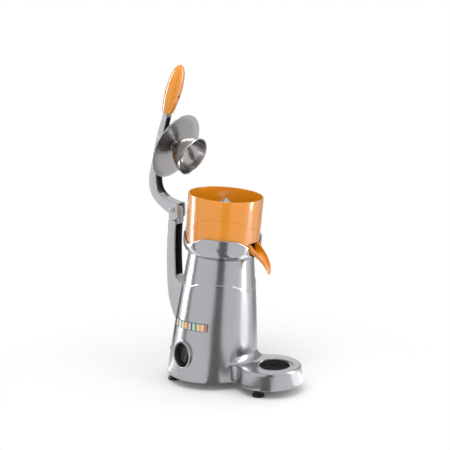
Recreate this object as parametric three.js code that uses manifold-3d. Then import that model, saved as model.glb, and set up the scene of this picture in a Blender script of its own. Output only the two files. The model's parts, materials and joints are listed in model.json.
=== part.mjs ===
// Lever citrus juice press: a leaning cast body with a glass tray, a bowl with a spout on a driven
// reamer, and a press cup on a lever hinged to a rear column. The lever is drawn raised.
// Millimetres, +Z up, the tray towards -Y. Places are counted from where the spindle axis meets the
// table; the finished part stands with the middle of its footprint on the origin.
import * as THREE from 'three';
import { mergeVertices } from 'three/addons/utils/BufferGeometryUtils.js';
import Module from 'manifold-3d';

const wasm = await Module();
wasm.setup();

// Fits and counts
const CLEARANCE = 0.3;
const OVERRUN = 4;
const ROUND_STEPS = 36;
const MIDDLE_STEPS = 28;
const INNER_STEPS = 20;
const SMALL_STEPS = 14;
const SCREW_STEPS = 8;

// Angles in degrees
const LEAN = 6.2;
const PRESS_IN_LINE = 71.9;
const RIDGE_LOBES = 3;

// Body casting: radii square to the spindle axis, heights along it
const BODY_FOOT_RADIUS = 100.6;
const BODY_NECK_RADIUS = 71;
const BODY_SWELL = 1.7;
const BODY_UNDERSIDE = 17;
const BODY_TOP = 285;
const BODY_WALL = 4;
const BODY_EDGE_ROUND = 6;
const BODY_FOOT_LIP = 9.5;
const BODY_RIDGE_HEIGHT = 225;
const BODY_RIDGE_STEP = 1;
const BODY_RIDGE_WIDTH = 1.6;
const BODY_RIDGE_WAVE_SHARE = 0.85;
const LEVEL_RINGS_TO = 60;
const SHELF_THICKNESS = 5;
const SHELF_DROP = 3.5;
const SHELF_BORE_RADIUS = 40;
const SPIGOT_RADIUS = 66.5;

// Glass tray
const TRAY_REACH = 149;
const TRAY_RADIUS = 70;
const TRAY_DRAFT = 2.5;
const TRAY_TOP = 55;
const TRAY_WALL = 4.5;
const TRAY_EDGE_ROUND = 3;
const TRAY_NECK_FILLET = 17;
const TRAY_ROOT_FILLET = 17;
const MAT_REACH = 162;
const MAT_RADIUS = 32;
const MAT_THICKNESS = 3.4;
const MAT_SUNK = 3;
const MAT_RIM = 3;
const MAT_RIB_HEIGHT = 0.9;
const MAT_RIB_WIDTH = 2.2;
const MAT_RIBS = 6;
const TRAY_RING_RADIUS = 40;
const TRAY_RING_DEPTH = 1.4;

// Feet and base plate
const FOOT_RADIUS = 13;
const FOOT_NECK_RADIUS = 7.5;
const FOOT_LIP = 4;
const FOOT_BORE_RADIUS = 2.6;
const FOOT_HEAD_RADIUS = 5.6;
const FOOT_HEAD_SEAT = 7;
const FOOT_SCREW_RADIUS = 2.3;
const FOOT_SCREW_HEAD = 3;
const FOOT_SCREW_LENGTH = 27;
const FRONT_FOOT_REACH = 153;
const FRONT_FOOT_SPREAD = 50;
const REAR_FOOT_REACH = -60;
const REAR_FOOT_SPREAD = 58;
const BOSS_RADIUS = 8;
const BOSS_BORE_RADIUS = 2.6;
const REAR_BOSS_HEIGHT = 34;
const PLATE_THICKNESS = 2;
const VENT_LENGTH = 46;
const VENT_WIDTH = 6;
const VENT_PITCH = 13;
const VENT_COUNT = 4;

// Bowl and head casting, heights along the spindle axis
const WAVE_HEIGHT = 10.5;
const WAVE_SECOND_HEIGHT = 3;
const HEAD_EDGE_HEIGHT = 322.5;
const HEAD_RADIUS = 83.6;
const HEAD_EDGE = 2.8;
const HEAD_DECK_TOP = 291;
const HEAD_HUB_RADIUS = 20;
const HEAD_HUB_TOP = 302;
const SEAL_RADIUS = 14;
const SEAL_HEIGHT = 7;
const BOWL_RADIUS = 80;
const BOWL_SKIRT_RADIUS = 78.9;
const BOWL_DRAFT = 1.1;
const BOWL_WALL = 2.5;
const BOWL_RIM = 411.3;
const BOWL_GROOVE_RISE = 40.5;
const BOWL_GROOVE_DEPTH = 0.6;
const BOWL_CORNER = 8;
const BOWL_HUB_RADIUS = 24.5;
const BOWL_HUB_TOP = 318;
const BOWL_LEDGE_HEIGHT = 336;
const BOWL_LEDGE_WIDTH = 2.6;
const MOUTH_HALF_WIDTH = 14.5;
const MOUTH_TOP = 322;
const SPOUT_REACH = 44;
const SPOUT_DROP = 62;
const SPOUT_TOP = 324;
const SPOUT_HALF_WIDTH = 17.3;
const SPOUT_WALL = 2.4;

// Strainer and reamer
const STRAINER_RIM_RADIUS = 77;
const STRAINER_SHEET = 1.2;
const STRAINER_FLOOR_HEIGHT = 321;
const STRAINER_FLOOR_RADIUS = 62;
const STRAINER_BORE_RADIUS = 27;
const STRAINER_SLOTS = 10;
const STRAINER_SLOT_LENGTH = 24;
const STRAINER_SLOT_WIDTH = 3;
const REAMER_FOOT = 328;
const REAMER_TIP = 404;
const REAMER_RADIUS = 36;
const REAMER_WALL = 3;
const REAMER_RIBS = 9;
const REAMER_RIB_DEPTH_SHARE = 0.13;
const REAMER_SOCKET_RADIUS = 9.5;

// Drive, heights along the spindle axis
const SHAFT_RADIUS = 7.5;
const SHAFT_TOP_RADIUS = 6;
const SHAFT_CORE_RADIUS = 9;
const SHAFT_LOWER_RADIUS = 6;
const SHAFT_FLAT = 4.8;
const SHAFT_BOTTOM = 88;
const SHAFT_TOP = 352;
const SHAFT_STEP = 304;
const MOTOR_RADIUS = 60.5;
const MOTOR_SHEET = 2.4;
const MOTOR_BOTTOM = 106;
const MOTOR_SHIELD = 13;
const CORE_BOTTOM = 160;
const CORE_HEIGHT = 56;
const ROTOR_RADIUS = 30;
const WINDING_HEIGHT = 16;
const WINDING_INNER = 35;
const WINDING_OUTER = 52;
const BEARING_RADIUS = 17;
const BEARING_HEIGHT = 9;
const FAN_RADIUS = 48;
const FAN_HEIGHT = 10;
const FAN_DISC = 1.6;
const FAN_BLADES = 7;
const FAN_BLADE_THICKNESS = 1.6;
const HEAD_BOLT_CIRCLE = 50;
const HEAD_BOLT_RADIUS = 3;
const HEAD_BOLT_HEAD = 5.4;
const HEAD_BOLT_HEAD_HEIGHT = 3;
const HEAD_BOLT_SUNK = 4;
const HEAD_BOLTS = 3;

// Parts on the base plate
const CAPACITOR_RADIUS = 17.5;
const CAPACITOR_LENGTH = 62;
const CAPACITOR_SIDE = 38;
const STRAP_WIDTH = 14;
const STRAP_SHEET = 1.5;
const STRAP_FOOT = 11;
const TERMINAL_LENGTH = 44;
const TERMINAL_WIDTH = 17;
const TERMINAL_HEIGHT = 15;
const TERMINAL_BACK = 42;
const TERMINAL_SIDE = 12;
const TERMINAL_WAYS = 4;
const GLAND_HEIGHT = 48;
const GLAND_RADIUS = 10.5;
const GLAND_THREAD_RADIUS = 8;
const GLAND_BORE_RADIUS = 4;
const GLAND_OUTSIDE = 15;
const GLAND_INSIDE = 12;

// Switch on the left flank; its heading is counted from the tray round to the back
const SWITCH_HEADING = 101;
const SWITCH_HEIGHT = 71;
const SWITCH_HALF_WIDTH = 22;
const SWITCH_HALF_HEIGHT = 27;
const SWITCH_PROUD = 3;
const SWITCH_DEPTH = 15;
const SWITCH_LIP = 4.5;
const LINER_WALL = 1.6;
const LINER_FLOOR = 2;
const ROCKER_WIDTH = 16.5;
const ROCKER_HEIGHT = 34;
const ROCKER_PROUD = 6;
const ROCKER_THICKNESS = 5;
const ROCKER_TILT = 7;
const SWITCH_BODY_DEPTH = 19;
const SWITCH_BODY_WALL = 1.6;

// Trim strip on the left flank, level with the table
const STRIP_HEIGHT = 137;
const STRIP_BREADTH = 17;
const STRIP_THICKNESS = 1;
const STRIP_FROM = 67;
const STRIP_TO = 129;
const STRIP_STEPS = 12;

// Rear column and hinge: distances behind the origin and above the table
const HINGE_BACK = 88;
const HINGE_HEIGHT = 366;
const COLUMN_WIDTH = 29.5;
const COLUMN_WALL = 3.2;
const COLUMN_FRONT = 80.5;
const COLUMN_DEPTH = 21.5;
const COLUMN_BOW = 6.5;
const COLUMN_ROUND = 2.4;
const COLUMN_ROOT_HEIGHT = 100;
const COLUMN_CHANNEL_BOTTOM = 222;
const COLUMN_CHANNEL_TOP = 334.5;
const COLUMN_WEB = 4;
const COLUMN_BOLT_RADIUS = 4;
const COLUMN_BOLT_HEAD_RADIUS = 7;
const COLUMN_BOLT_HEAD = 5;
const COLUMN_BOLT_GRIP = 12;
const COLUMN_BOLT_HEIGHTS = [132, 176];
const FORK_DROP = 23;
const FORK_NOSE = 15;
const FORK_CHEEK = 6;
const TONGUE_RADIUS = 14;
const PIN_RADIUS = 4;
const PIN_HEAD_RADIUS = 5.8;
const PIN_HEAD = 2.6;
const PIN_SOCKET = 1.6;
const BUSH_WALL = 2;

// Lever
const ARM_RISE = 211;
const ARM_SWAY = 65.5;
const ARM_TOP_WIDTH = 18;
const ARM_WALL = 3.2;
const ARM_WEB = 4;
const ARM_ROUND = 2;
const TANG_LENGTH = 62;
const TANG_WIDTH = 9;
const TANG_DEPTH = 7;
const GRIP_LENGTH = 110;
const GRIP_RADIUS = 17.4;
const GRIP_TILT = 21.2;
const GRIP_SCREW_SHARE = 0.4;
const GRIP_SCREW_HEAD_RADIUS = 3.4;
const GRIP_SCREW_RADIUS = 1.8;
const GRIP_SCREW_SUNK = 2.5;
const GRIP_SCREW_HEAD = 2.4;

// Press cup and splash disc, distances from the disc along the press axis
const DISC_HEIGHT = 410;
const DISC_RADIUS = 74.5;
const DISC_SHEET = 2;
const DISC_DISH = 3;
const CUP_RADIUS = 43.3;
const CUP_LENGTH = 51;
const CUP_WALL = 2.3;
const CUP_NECK_RADIUS = 12;
const STEM_RADIUS = 6;
const STEM_COLLAR_RADIUS = 12.5;
const STEM_COLLAR = 9;
const STEM_THREAD_RADIUS = 4;
const ARM_BOSS_RADIUS = 10;
const PRESS_NUT_RADIUS = 7.5;
const PRESS_NUT_HEIGHT = 7;

// How far a rounded edge has turned in halfway round it
const EDGE_SHARE = 0.3;

const rad = THREE.MathUtils.degToRad;
const sinLean = Math.sin(rad(LEAN));
const cosLean = Math.cos(rad(LEAN));

// Materials
function finish(color, metalness, roughness) {
  return new THREE.MeshStandardMaterial({ color, metalness, roughness });
}

const castAluminium = finish(0xb4b5b8, 1, 0.35);
const polishedSteel = finish(0xd2d3d6, 1, 0.08);
const zincSteel = finish(0xa8aaad, 1, 0.4);
const orangePlastic = finish(0xf08c14, 0, 0.2);
const blackRubber = finish(0x16161a, 0, 0.75);
const blackPlastic = finish(0x121214, 0, 0.35);
const bronze = finish(0xb07f3a, 1, 0.4);
const copper = finish(0xb5622c, 1, 0.45);
const greyPlastic = finish(0xcfd0cc, 0, 0.5);
const stripEnamel = finish(0xe8e4d2, 0, 0.35);

// Turns a three.js geometry into a solid with shared vertices and outward faces
function solid(source) {
  const bare = source.clone();
  bare.deleteAttribute('normal');
  bare.deleteAttribute('uv');
  const merged = mergeVertices(bare, 1e-4);
  const position = merged.attributes.position;
  const index = merged.index.array;
  const kept = [];
  let volume = 0;
  const a = new THREE.Vector3();
  const b = new THREE.Vector3();
  const c = new THREE.Vector3();
  for (let i = 0; i < index.length; i += 3) {
    const [p, q, r] = [index[i], index[i + 1], index[i + 2]];
    if (p === q || q === r || r === p) continue;
    kept.push(p, q, r);
    a.fromBufferAttribute(position, p);
    b.fromBufferAttribute(position, q);
    c.fromBufferAttribute(position, r);
    volume += a.dot(b.cross(c));
  }
  if (volume < 0) kept.reverse();
  const vertProperties = Float32Array.from(position.array);
  const triVerts = Uint32Array.from(kept);
  return new wasm.Manifold(new wasm.Mesh({ numProp: 3, vertProperties, triVerts }));
}

function geometryOf(body) {
  const mesh = body.getMesh();
  const geometry = new THREE.BufferGeometry();
  geometry.setAttribute('position', new THREE.BufferAttribute(Float32Array.from(mesh.vertProperties), 3));
  geometry.setIndex(new THREE.BufferAttribute(Uint32Array.from(mesh.triVerts), 1));
  geometry.computeVertexNormals();
  return geometry;
}

function moved(geometry, ...matrices) {
  const copy = geometry.clone();
  matrices.forEach((matrix) => copy.applyMatrix4(matrix));
  return copy;
}

const shift = (x, y, z) => new THREE.Matrix4().makeTranslation(x, y, z);
const turnX = (degrees) => new THREE.Matrix4().makeRotationX(rad(degrees));
const turnY = (degrees) => new THREE.Matrix4().makeRotationY(rad(degrees));
const turnZ = (degrees) => new THREE.Matrix4().makeRotationZ(rad(degrees));
const [axisX, axisY, axisZ] = [[1, 0, 0], [0, 1, 0], [0, 0, 1]].map((axis) => new THREE.Vector3(...axis));
const joined = (first, ...rest) => rest.reduce((sum, item) => sum.add(item), first);
const cutFrom = (first, ...rest) => rest.reduce((sum, item) => sum.subtract(item), first);

// A profile of [radius, height] points turned round +Z, the seam at the front
function turned(points, steps = ROUND_STEPS) {
  const profile = points.map(([radius, height]) => new THREE.Vector2(Math.max(radius, 0), height));
  return moved(new THREE.LatheGeometry(profile, steps), turnX(90));
}

// The same with a third value, how much of the three-lobed wave each point takes
function turnedWave(points, steps = ROUND_STEPS) {
  const geometry = new THREE.LatheGeometry(points.map(([r, h]) => new THREE.Vector2(r, h)), steps);
  const position = geometry.attributes.position;
  for (let i = 0; i < position.count; i += 1) {
    const weight = points[i % points.length][2] ?? 0;
    const heading = Math.atan2(position.getX(i), position.getZ(i));
    position.setY(i, position.getY(i) + weight * lobeWave(heading));
  }
  return moved(geometry, turnX(90));
}

// Lowest at the spout and a third of a turn to each side of it
function lobeWave(heading) {
  const main = -WAVE_HEIGHT * Math.cos(RIDGE_LOBES * heading);
  return main - WAVE_SECOND_HEIGHT * Math.cos(2 * RIDGE_LOBES * heading);
}

function rod(radius, from, to, steps = SMALL_STEPS) {
  return turned([[0, from], [radius, from], [radius, to], [0, to]], steps);
}

function tube(inner, outer, from, to, steps = ROUND_STEPS) {
  return turned([[inner, from], [outer, from], [outer, to], [inner, to], [inner, from]], steps);
}

function block(width, depth, height) {
  return new THREE.BoxGeometry(width, depth, height);
}

// Stacks closed outlines with equal point counts into a solid and closes both ends
function lofted(outlines) {
  const count = outlines[0].length;
  const position = [];
  const index = [];
  outlines.forEach((outline) => outline.forEach((p) => position.push(p.x, p.y, p.z)));
  for (let ring = 0; ring + 1 < outlines.length; ring += 1) {
    for (let i = 0; i < count; i += 1) {
      const a = ring * count + i;
      const b = ring * count + ((i + 1) % count);
      index.push(a, b, b + count, a, b + count, a + count);
    }
  }
  closeEnd(outlines[0], 0, index, true);
  closeEnd(outlines.at(-1), (outlines.length - 1) * count, index, false);
  const geometry = new THREE.BufferGeometry();
  geometry.setAttribute('position', new THREE.Float32BufferAttribute(position, 3));
  geometry.setIndex(index);
  return geometry;
}

// Triangulates an outline in its own plane
function closeEnd(outline, first, index, flipped) {
  const normal = new THREE.Vector3();
  outline.forEach((p, i) => normal.add(new THREE.Vector3().crossVectors(p, outline[(i + 1) % outline.length])));
  normal.normalize();
  const across = new THREE.Vector3(normal.y, normal.z, normal.x).cross(normal).normalize();
  const up = new THREE.Vector3().crossVectors(normal, across);
  const flat = outline.map((p) => new THREE.Vector2(p.dot(across), p.dot(up)));
  THREE.ShapeUtils.triangulateShape(flat, []).forEach(([a, b, c]) => {
    if (flipped) index.push(first + c, first + b, first + a);
    else index.push(first + a, first + b, first + c);
  });
}

// Radius of the body's outside square to the axis, at a height along it
function bodyRadius(height) {
  const share = THREE.MathUtils.clamp(height / BODY_TOP, 0, 1);
  const straight = THREE.MathUtils.lerp(BODY_FOOT_RADIUS, BODY_NECK_RADIUS, share);
  return straight + BODY_SWELL * 4 * share * (1 - share);
}

// The body's rings lie level at its foot and square to the spindle axis at its neck
function leaned(geometry) {
  const copy = geometry.clone();
  const position = copy.attributes.position;
  const level = rad(LEAN);
  for (let i = 0; i < position.count; i += 1) {
    const [x, y, height] = [position.getX(i), position.getY(i), position.getZ(i)];
    const turn = level * THREE.MathUtils.smoothstep(height, LEVEL_RINGS_TO, BODY_TOP);
    const back = -height * sinLean + y * Math.cos(turn);
    position.setXYZ(i, x, back, height * cosLean + y * Math.sin(turn));
  }
  return copy;
}

const alongAxis = (z) => z / cosLean;
const switchFace = bodyRadius(SWITCH_HEIGHT) + SWITCH_PROUD;
const plateTop = BODY_UNDERSIDE + PLATE_THICKNESS;
const footHeight = alongAxis(BODY_UNDERSIDE);

function arcPoints(centre, radius, from, to, steps) {
  const points = [];
  for (let i = 0; i <= steps; i += 1) {
    const angle = THREE.MathUtils.lerp(from, to, i / steps);
    points.push(new THREE.Vector2(centre.x + radius * Math.cos(angle), centre.y + radius * Math.sin(angle)));
  }
  return points;
}

// Plan of the tray lobe and, if whole, of the body's foot behind it, drawn in by an inset
function footPlan(inset, whole, atHeight = BODY_UNDERSIDE) {
  const height = alongAxis(atHeight);
  const body = new THREE.Vector2(0, -height * sinLean);
  const bodyReach = bodyRadius(height) - inset;
  const lobe = new THREE.Vector2(0, -TRAY_REACH);
  const lobeReach = TRAY_RADIUS - inset;
  const fillet = TRAY_NECK_FILLET + inset;
  const gap = body.y - lobe.y;
  const down = (gap * gap + (bodyReach + fillet) ** 2 - (lobeReach + fillet) ** 2) / (2 * gap);
  const side = Math.sqrt((bodyReach + fillet) ** 2 - down ** 2);
  const neck = new THREE.Vector2(side, body.y - down);
  const bodyAngle = Math.atan2(-down, side);
  const lobeAngle = Math.atan2(neck.y - lobe.y, neck.x - lobe.x);
  const waist = arcPoints(neck, fillet, Math.PI + bodyAngle, Math.PI + lobeAngle, 3);
  const front = arcPoints(lobe, lobeReach, lobeAngle, -Math.PI / 2, 11).slice(1);
  const half = [...waist, ...front];
  const mirrored = half.slice(0, -1).reverse().map((p) => new THREE.Vector2(-p.x, p.y));
  const outline = [...half, ...mirrored];
  if (whole) outline.push(...arcPoints(body, bodyReach, Math.PI - bodyAngle, bodyAngle, 20).slice(1, -1));
  return outline;
}

function raised(outline, z) {
  return outline.map((p) => new THREE.Vector3(p.x, p.y, z));
}

// Body casting
function bodyProfile(inset, from, to, steps = 9) {
  const points = [];
  for (let i = 0; i <= steps; i += 1) {
    const height = THREE.MathUtils.lerp(from, to, i / steps);
    points.push([bodyRadius(height) - inset, height]);
  }
  return points;
}

function makeBodyOutside() {
  const ridge = BODY_RIDGE_HEIGHT;
  const wave = BODY_RIDGE_WAVE_SHARE;
  const low = bodyProfile(0, footHeight + BODY_EDGE_ROUND, ridge - 4 * WAVE_HEIGHT, 3);
  const rounding = arcPoints(new THREE.Vector2(low[0][0] - BODY_EDGE_ROUND, low[0][1]),
    BODY_EDGE_ROUND, -Math.PI / 2, 0, 3).slice(0, -1).map((p) => [p.x, p.y]);
  const upper = bodyProfile(BODY_RIDGE_STEP, ridge + 3 * WAVE_HEIGHT, BODY_TOP, 2);
  const points = [
    [0, footHeight, 0],
    ...rounding.map(([r, h]) => [r, h, 0]),
    ...low.map(([r, h]) => [r, h, 0]),
    [bodyRadius(ridge - 2 * WAVE_HEIGHT), ridge - 2 * WAVE_HEIGHT, wave / 2],
    [bodyRadius(ridge), ridge, wave],
    [bodyRadius(ridge) - BODY_RIDGE_STEP, ridge + BODY_RIDGE_WIDTH, wave],
    ...upper.map(([r, h]) => [r, h, 0]),
    [0, BODY_TOP, 0],
  ];
  return leaned(turnedWave(points));
}

// The plain outside, for cutting what seats against the body
function bodyBlank(offset) {
  const points = bodyProfile(-offset, footHeight, BODY_TOP, 8);
  return leaned(turned([[0, footHeight], ...points, [0, BODY_TOP]]));
}

function makeTrayLobe() {
  const levels = [
    [BODY_UNDERSIDE, TRAY_EDGE_ROUND / 2],
    [BODY_UNDERSIDE + TRAY_EDGE_ROUND / 2, 0],
    [TRAY_TOP - TRAY_EDGE_ROUND, TRAY_DRAFT],
    [TRAY_TOP - TRAY_EDGE_ROUND * EDGE_SHARE, TRAY_DRAFT + TRAY_EDGE_ROUND * EDGE_SHARE],
    [TRAY_TOP, TRAY_DRAFT + TRAY_EDGE_ROUND],
  ];
  return lofted(levels.map(([z, inset]) => raised(footPlan(inset, false), z)));
}

// The concave sweep from the tray's top up into the cone, trimmed to the lobe's plan
function makeTrayRoot() {
  const base = alongAxis(TRAY_TOP);
  const reach = bodyRadius(base + TRAY_ROOT_FILLET) + TRAY_ROOT_FILLET;
  const centre = new THREE.Vector2(reach, base + TRAY_ROOT_FILLET);
  const arc = arcPoints(centre, TRAY_ROOT_FILLET, -Math.PI / 2, -Math.PI, 5).map((p) => [p.x, p.y]);
  const inner = bodyRadius(base) - 2 * BODY_WALL;
  const profile = [[inner, base - BODY_WALL], [reach, base - BODY_WALL], ...arc,
    [inner, base + TRAY_ROOT_FILLET], [inner, base - BODY_WALL]];
  const plan = footPlan(TRAY_DRAFT + TRAY_EDGE_ROUND, false);
  const tall = lofted([raised(plan, TRAY_TOP - BODY_WALL), raised(plan, TRAY_TOP + 2 * TRAY_ROOT_FILLET)]);
  return solid(leaned(turned(profile))).intersect(solid(tall));
}

// Places a tool that works along +Y on the switch's heading and height
function onFlank(geometry) {
  return moved(geometry, turnZ(-SWITCH_HEADING), shift(0, 0, SWITCH_HEIGHT), turnX(LEAN));
}

// Upright oval along +Y, from one distance off the spindle axis to another
function oval(halfWidth, halfHeight, from, to, steps = SMALL_STEPS) {
  const shape = new THREE.Shape();
  shape.absellipse(0, 0, halfWidth, halfHeight, 0, 2 * Math.PI, false, 0);
  const bar = new THREE.ExtrudeGeometry(shape, { depth: to - from, bevelEnabled: false, curveSegments: steps });
  return moved(bar, turnX(90), shift(0, -from, 0));
}

// The rear flank's outside, and the flat that the cord gland seats on there
function bodyBackAt(z) {
  const height = alongAxis(z);
  return bodyRadius(height) - height * sinLean;
}

const glandSeat = bodyBackAt(GLAND_HEIGHT - GLAND_RADIUS);

function makeHousing() {
  const feet = footPlaces();
  let body = solid(makeBodyOutside());
  body = body.add(solid(makeTrayLobe()));
  body = body.add(makeTrayRoot());
  const lip = oval(SWITCH_HALF_WIDTH + SWITCH_LIP, SWITCH_HALF_HEIGHT + SWITCH_LIP,
    switchFace - 2 * SWITCH_DEPTH, switchFace);
  body = body.add(solid(onFlank(lip)));
  const spotFace = moved(rod(GLAND_RADIUS + CLEARANCE, glandSeat / 2, glandSeat, SMALL_STEPS), turnX(-90),
    shift(0, 0, GLAND_HEIGHT));
  body = body.add(solid(spotFace));
  const shelfBottom = BODY_TOP - SHELF_DROP - SHELF_THICKNESS;
  const cavity = bodyProfile(BODY_WALL + BODY_RIDGE_STEP, footHeight + BODY_EDGE_ROUND, shelfBottom, 2);
  const inside = leaned(turned([[0, footHeight + BODY_EDGE_ROUND], ...cavity, [0, shelfBottom]], MIDDLE_STEPS));
  const lobeInside = footPlan(TRAY_WALL + TRAY_DRAFT, false);
  const trayRoof = TRAY_TOP - TRAY_WALL - MAT_SUNK;
  const trayInside = lofted([raised(lobeInside, BODY_UNDERSIDE + BODY_EDGE_ROUND), raised(lobeInside, trayRoof)]);
  const mouth = footPlan(BODY_FOOT_LIP, true);
  const below = lofted([raised(mouth, BODY_UNDERSIDE - OVERRUN), raised(mouth, BODY_UNDERSIDE + BODY_EDGE_ROUND + 1)]);
  body = cutFrom(body, solid(inside), solid(trayInside), solid(below));
  const bosses = feet.map(([x, y]) => {
    const top = y < -TRAY_REACH / 2 ? trayRoof + 1 : BODY_UNDERSIDE + REAR_BOSS_HEIGHT;
    const post = solid(moved(rod(BOSS_RADIUS, plateTop + CLEARANCE, top, SCREW_STEPS), shift(x, y, 0)));
    return y < -TRAY_REACH / 2 ? post : post.add(solid(rearRib(x, y, top)));
  });
  body = joined(body, ...bosses);
  const bores = feet.map(([x, y]) => solid(moved(
    rod(BOSS_BORE_RADIUS, BODY_UNDERSIDE - OVERRUN, BODY_UNDERSIDE + FOOT_SCREW_LENGTH, SCREW_STEPS), shift(x, y, 0))));
  const cuts = [
    ...bores,
    spindleSolid(rod(SPIGOT_RADIUS, BODY_TOP - SHELF_DROP, BODY_TOP + OVERRUN, ROUND_STEPS)),
    spindleSolid(rod(SHELF_BORE_RADIUS, shelfBottom - OVERRUN, BODY_TOP, INNER_STEPS)),
    ...boltPlaces().map((place) => spindleSolid(moved(
      rod(HEAD_BOLT_RADIUS + CLEARANCE, shelfBottom - OVERRUN, BODY_TOP, SCREW_STEPS), place))),
    solid(onFlank(oval(SWITCH_HALF_WIDTH, SWITCH_HALF_HEIGHT, switchFace - SWITCH_DEPTH - LINER_FLOOR,
      switchFace + OVERRUN))),
    solid(moved(rod(TRAY_RING_RADIUS, TRAY_TOP - TRAY_RING_DEPTH, TRAY_TOP + OVERRUN, MIDDLE_STEPS),
      shift(0, -MAT_REACH, 0))),
    solid(moved(rod(MAT_RADIUS + CLEARANCE, TRAY_TOP - MAT_SUNK, TRAY_TOP, MIDDLE_STEPS),
      shift(0, -MAT_REACH, 0))),
    solid(moved(rod(GLAND_THREAD_RADIUS + CLEARANCE, 0, glandSeat + OVERRUN, SCREW_STEPS),
      turnX(-90), shift(0, 0, GLAND_HEIGHT))),
    ...COLUMN_BOLT_HEIGHTS.map((height) => solid(moved(
      rod(COLUMN_BOLT_RADIUS + CLEARANCE, 0, 2 * HINGE_BACK, SCREW_STEPS), turnX(-90), shift(0, 0, height)))),
  ];
  return cutFrom(body, ...cuts);
}

// A rib that ties a rear boss to the body's wall
function rearRib(x, y, top) {
  const bottom = plateTop + CLEARANCE;
  const away = Math.hypot(x, y);
  const height = alongAxis(top);
  const reach = bodyRadius(height) - height * sinLean * y / away - BODY_WALL / 2 - away;
  const rib = moved(block(BOSS_RADIUS, reach, top - bottom), shift(0, away + reach / 2, (top + bottom) / 2));
  return moved(rib, new THREE.Matrix4().makeRotationZ(Math.atan2(y, x) - Math.PI / 2));
}

function footPlaces() {
  return [
    [FRONT_FOOT_SPREAD, -FRONT_FOOT_REACH],
    [-FRONT_FOOT_SPREAD, -FRONT_FOOT_REACH],
    [REAR_FOOT_SPREAD, -REAR_FOOT_REACH],
    [-REAR_FOOT_SPREAD, -REAR_FOOT_REACH],
  ];
}

function boltPlaces() {
  return Array.from({ length: HEAD_BOLTS }, (_, i) => shift(HEAD_BOLT_CIRCLE, 0, 0)
    .premultiply(turnZ(30 + i * 360 / HEAD_BOLTS)));
}

function spindleSolid(geometry) {
  return solid(moved(geometry, turnX(LEAN)));
}

function makeBasePlate() {
  const plan = footPlan(BODY_FOOT_LIP + CLEARANCE, true);
  const bottom = BODY_UNDERSIDE;
  const sheet = solid(lofted([raised(plan, bottom), raised(plan, plateTop)]));
  const holes = footPlaces().map(([x, y]) => solid(moved(
    rod(FOOT_BORE_RADIUS, bottom - OVERRUN, bottom + OVERRUN, SCREW_STEPS), shift(x, y, 0))));
  const vents = Array.from({ length: VENT_COUNT }, (_, i) => {
    const y = -VENT_PITCH * (i + 0.5 - VENT_COUNT / 2) - VENT_LENGTH;
    return solid(moved(block(VENT_LENGTH, VENT_WIDTH, 2 * OVERRUN), shift(0, y, bottom)));
  });
  return cutFrom(sheet, ...holes, ...vents);
}

function makeFoot() {
  const top = BODY_UNDERSIDE - CLEARANCE;
  return turned([
    [FOOT_BORE_RADIUS, FOOT_HEAD_SEAT],
    [FOOT_HEAD_RADIUS, FOOT_HEAD_SEAT],
    [FOOT_HEAD_RADIUS, 0],
    [FOOT_RADIUS - 1, 0],
    [FOOT_RADIUS, FOOT_LIP],
    [FOOT_NECK_RADIUS + 2, FOOT_LIP * 2],
    [FOOT_NECK_RADIUS, top],
    [FOOT_BORE_RADIUS, top],
    [FOOT_BORE_RADIUS, FOOT_HEAD_SEAT],
  ], SMALL_STEPS);
}

function makeFootScrew() {
  const head = FOOT_HEAD_SEAT - CLEARANCE;
  const tip = BODY_UNDERSIDE + FOOT_SCREW_LENGTH - 1;
  return turned([[0, head - FOOT_SCREW_HEAD], [FOOT_HEAD_RADIUS - 1.2, head - FOOT_SCREW_HEAD],
    [FOOT_HEAD_RADIUS - CLEARANCE, head - 1], [FOOT_HEAD_RADIUS - CLEARANCE, head],
    [FOOT_SCREW_RADIUS, head], [FOOT_SCREW_RADIUS, tip - 1], [0, tip]], SCREW_STEPS);
}

function makeMat() {
  const rim = MAT_RADIUS - MAT_RIM;
  const disc = solid(turned([[0, 0], [MAT_RADIUS, 0], [MAT_RADIUS, MAT_THICKNESS - 0.6],
    [MAT_RADIUS - 0.6, MAT_THICKNESS], [rim, MAT_THICKNESS],
    [rim - 0.8, MAT_THICKNESS - MAT_RIB_HEIGHT], [0, MAT_THICKNESS - MAT_RIB_HEIGHT]], MIDDLE_STEPS));
  const ribs = Array.from({ length: MAT_RIBS }, (_, i) => solid(moved(
    block(rim, MAT_RIB_WIDTH, MAT_RIB_HEIGHT + MAT_RIB_WIDTH),
    shift(rim / 2, 0, MAT_THICKNESS - (MAT_RIB_HEIGHT + MAT_RIB_WIDTH) / 2), turnZ(i * 360 / MAT_RIBS))));
  return joined(disc, ...ribs);
}

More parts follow.
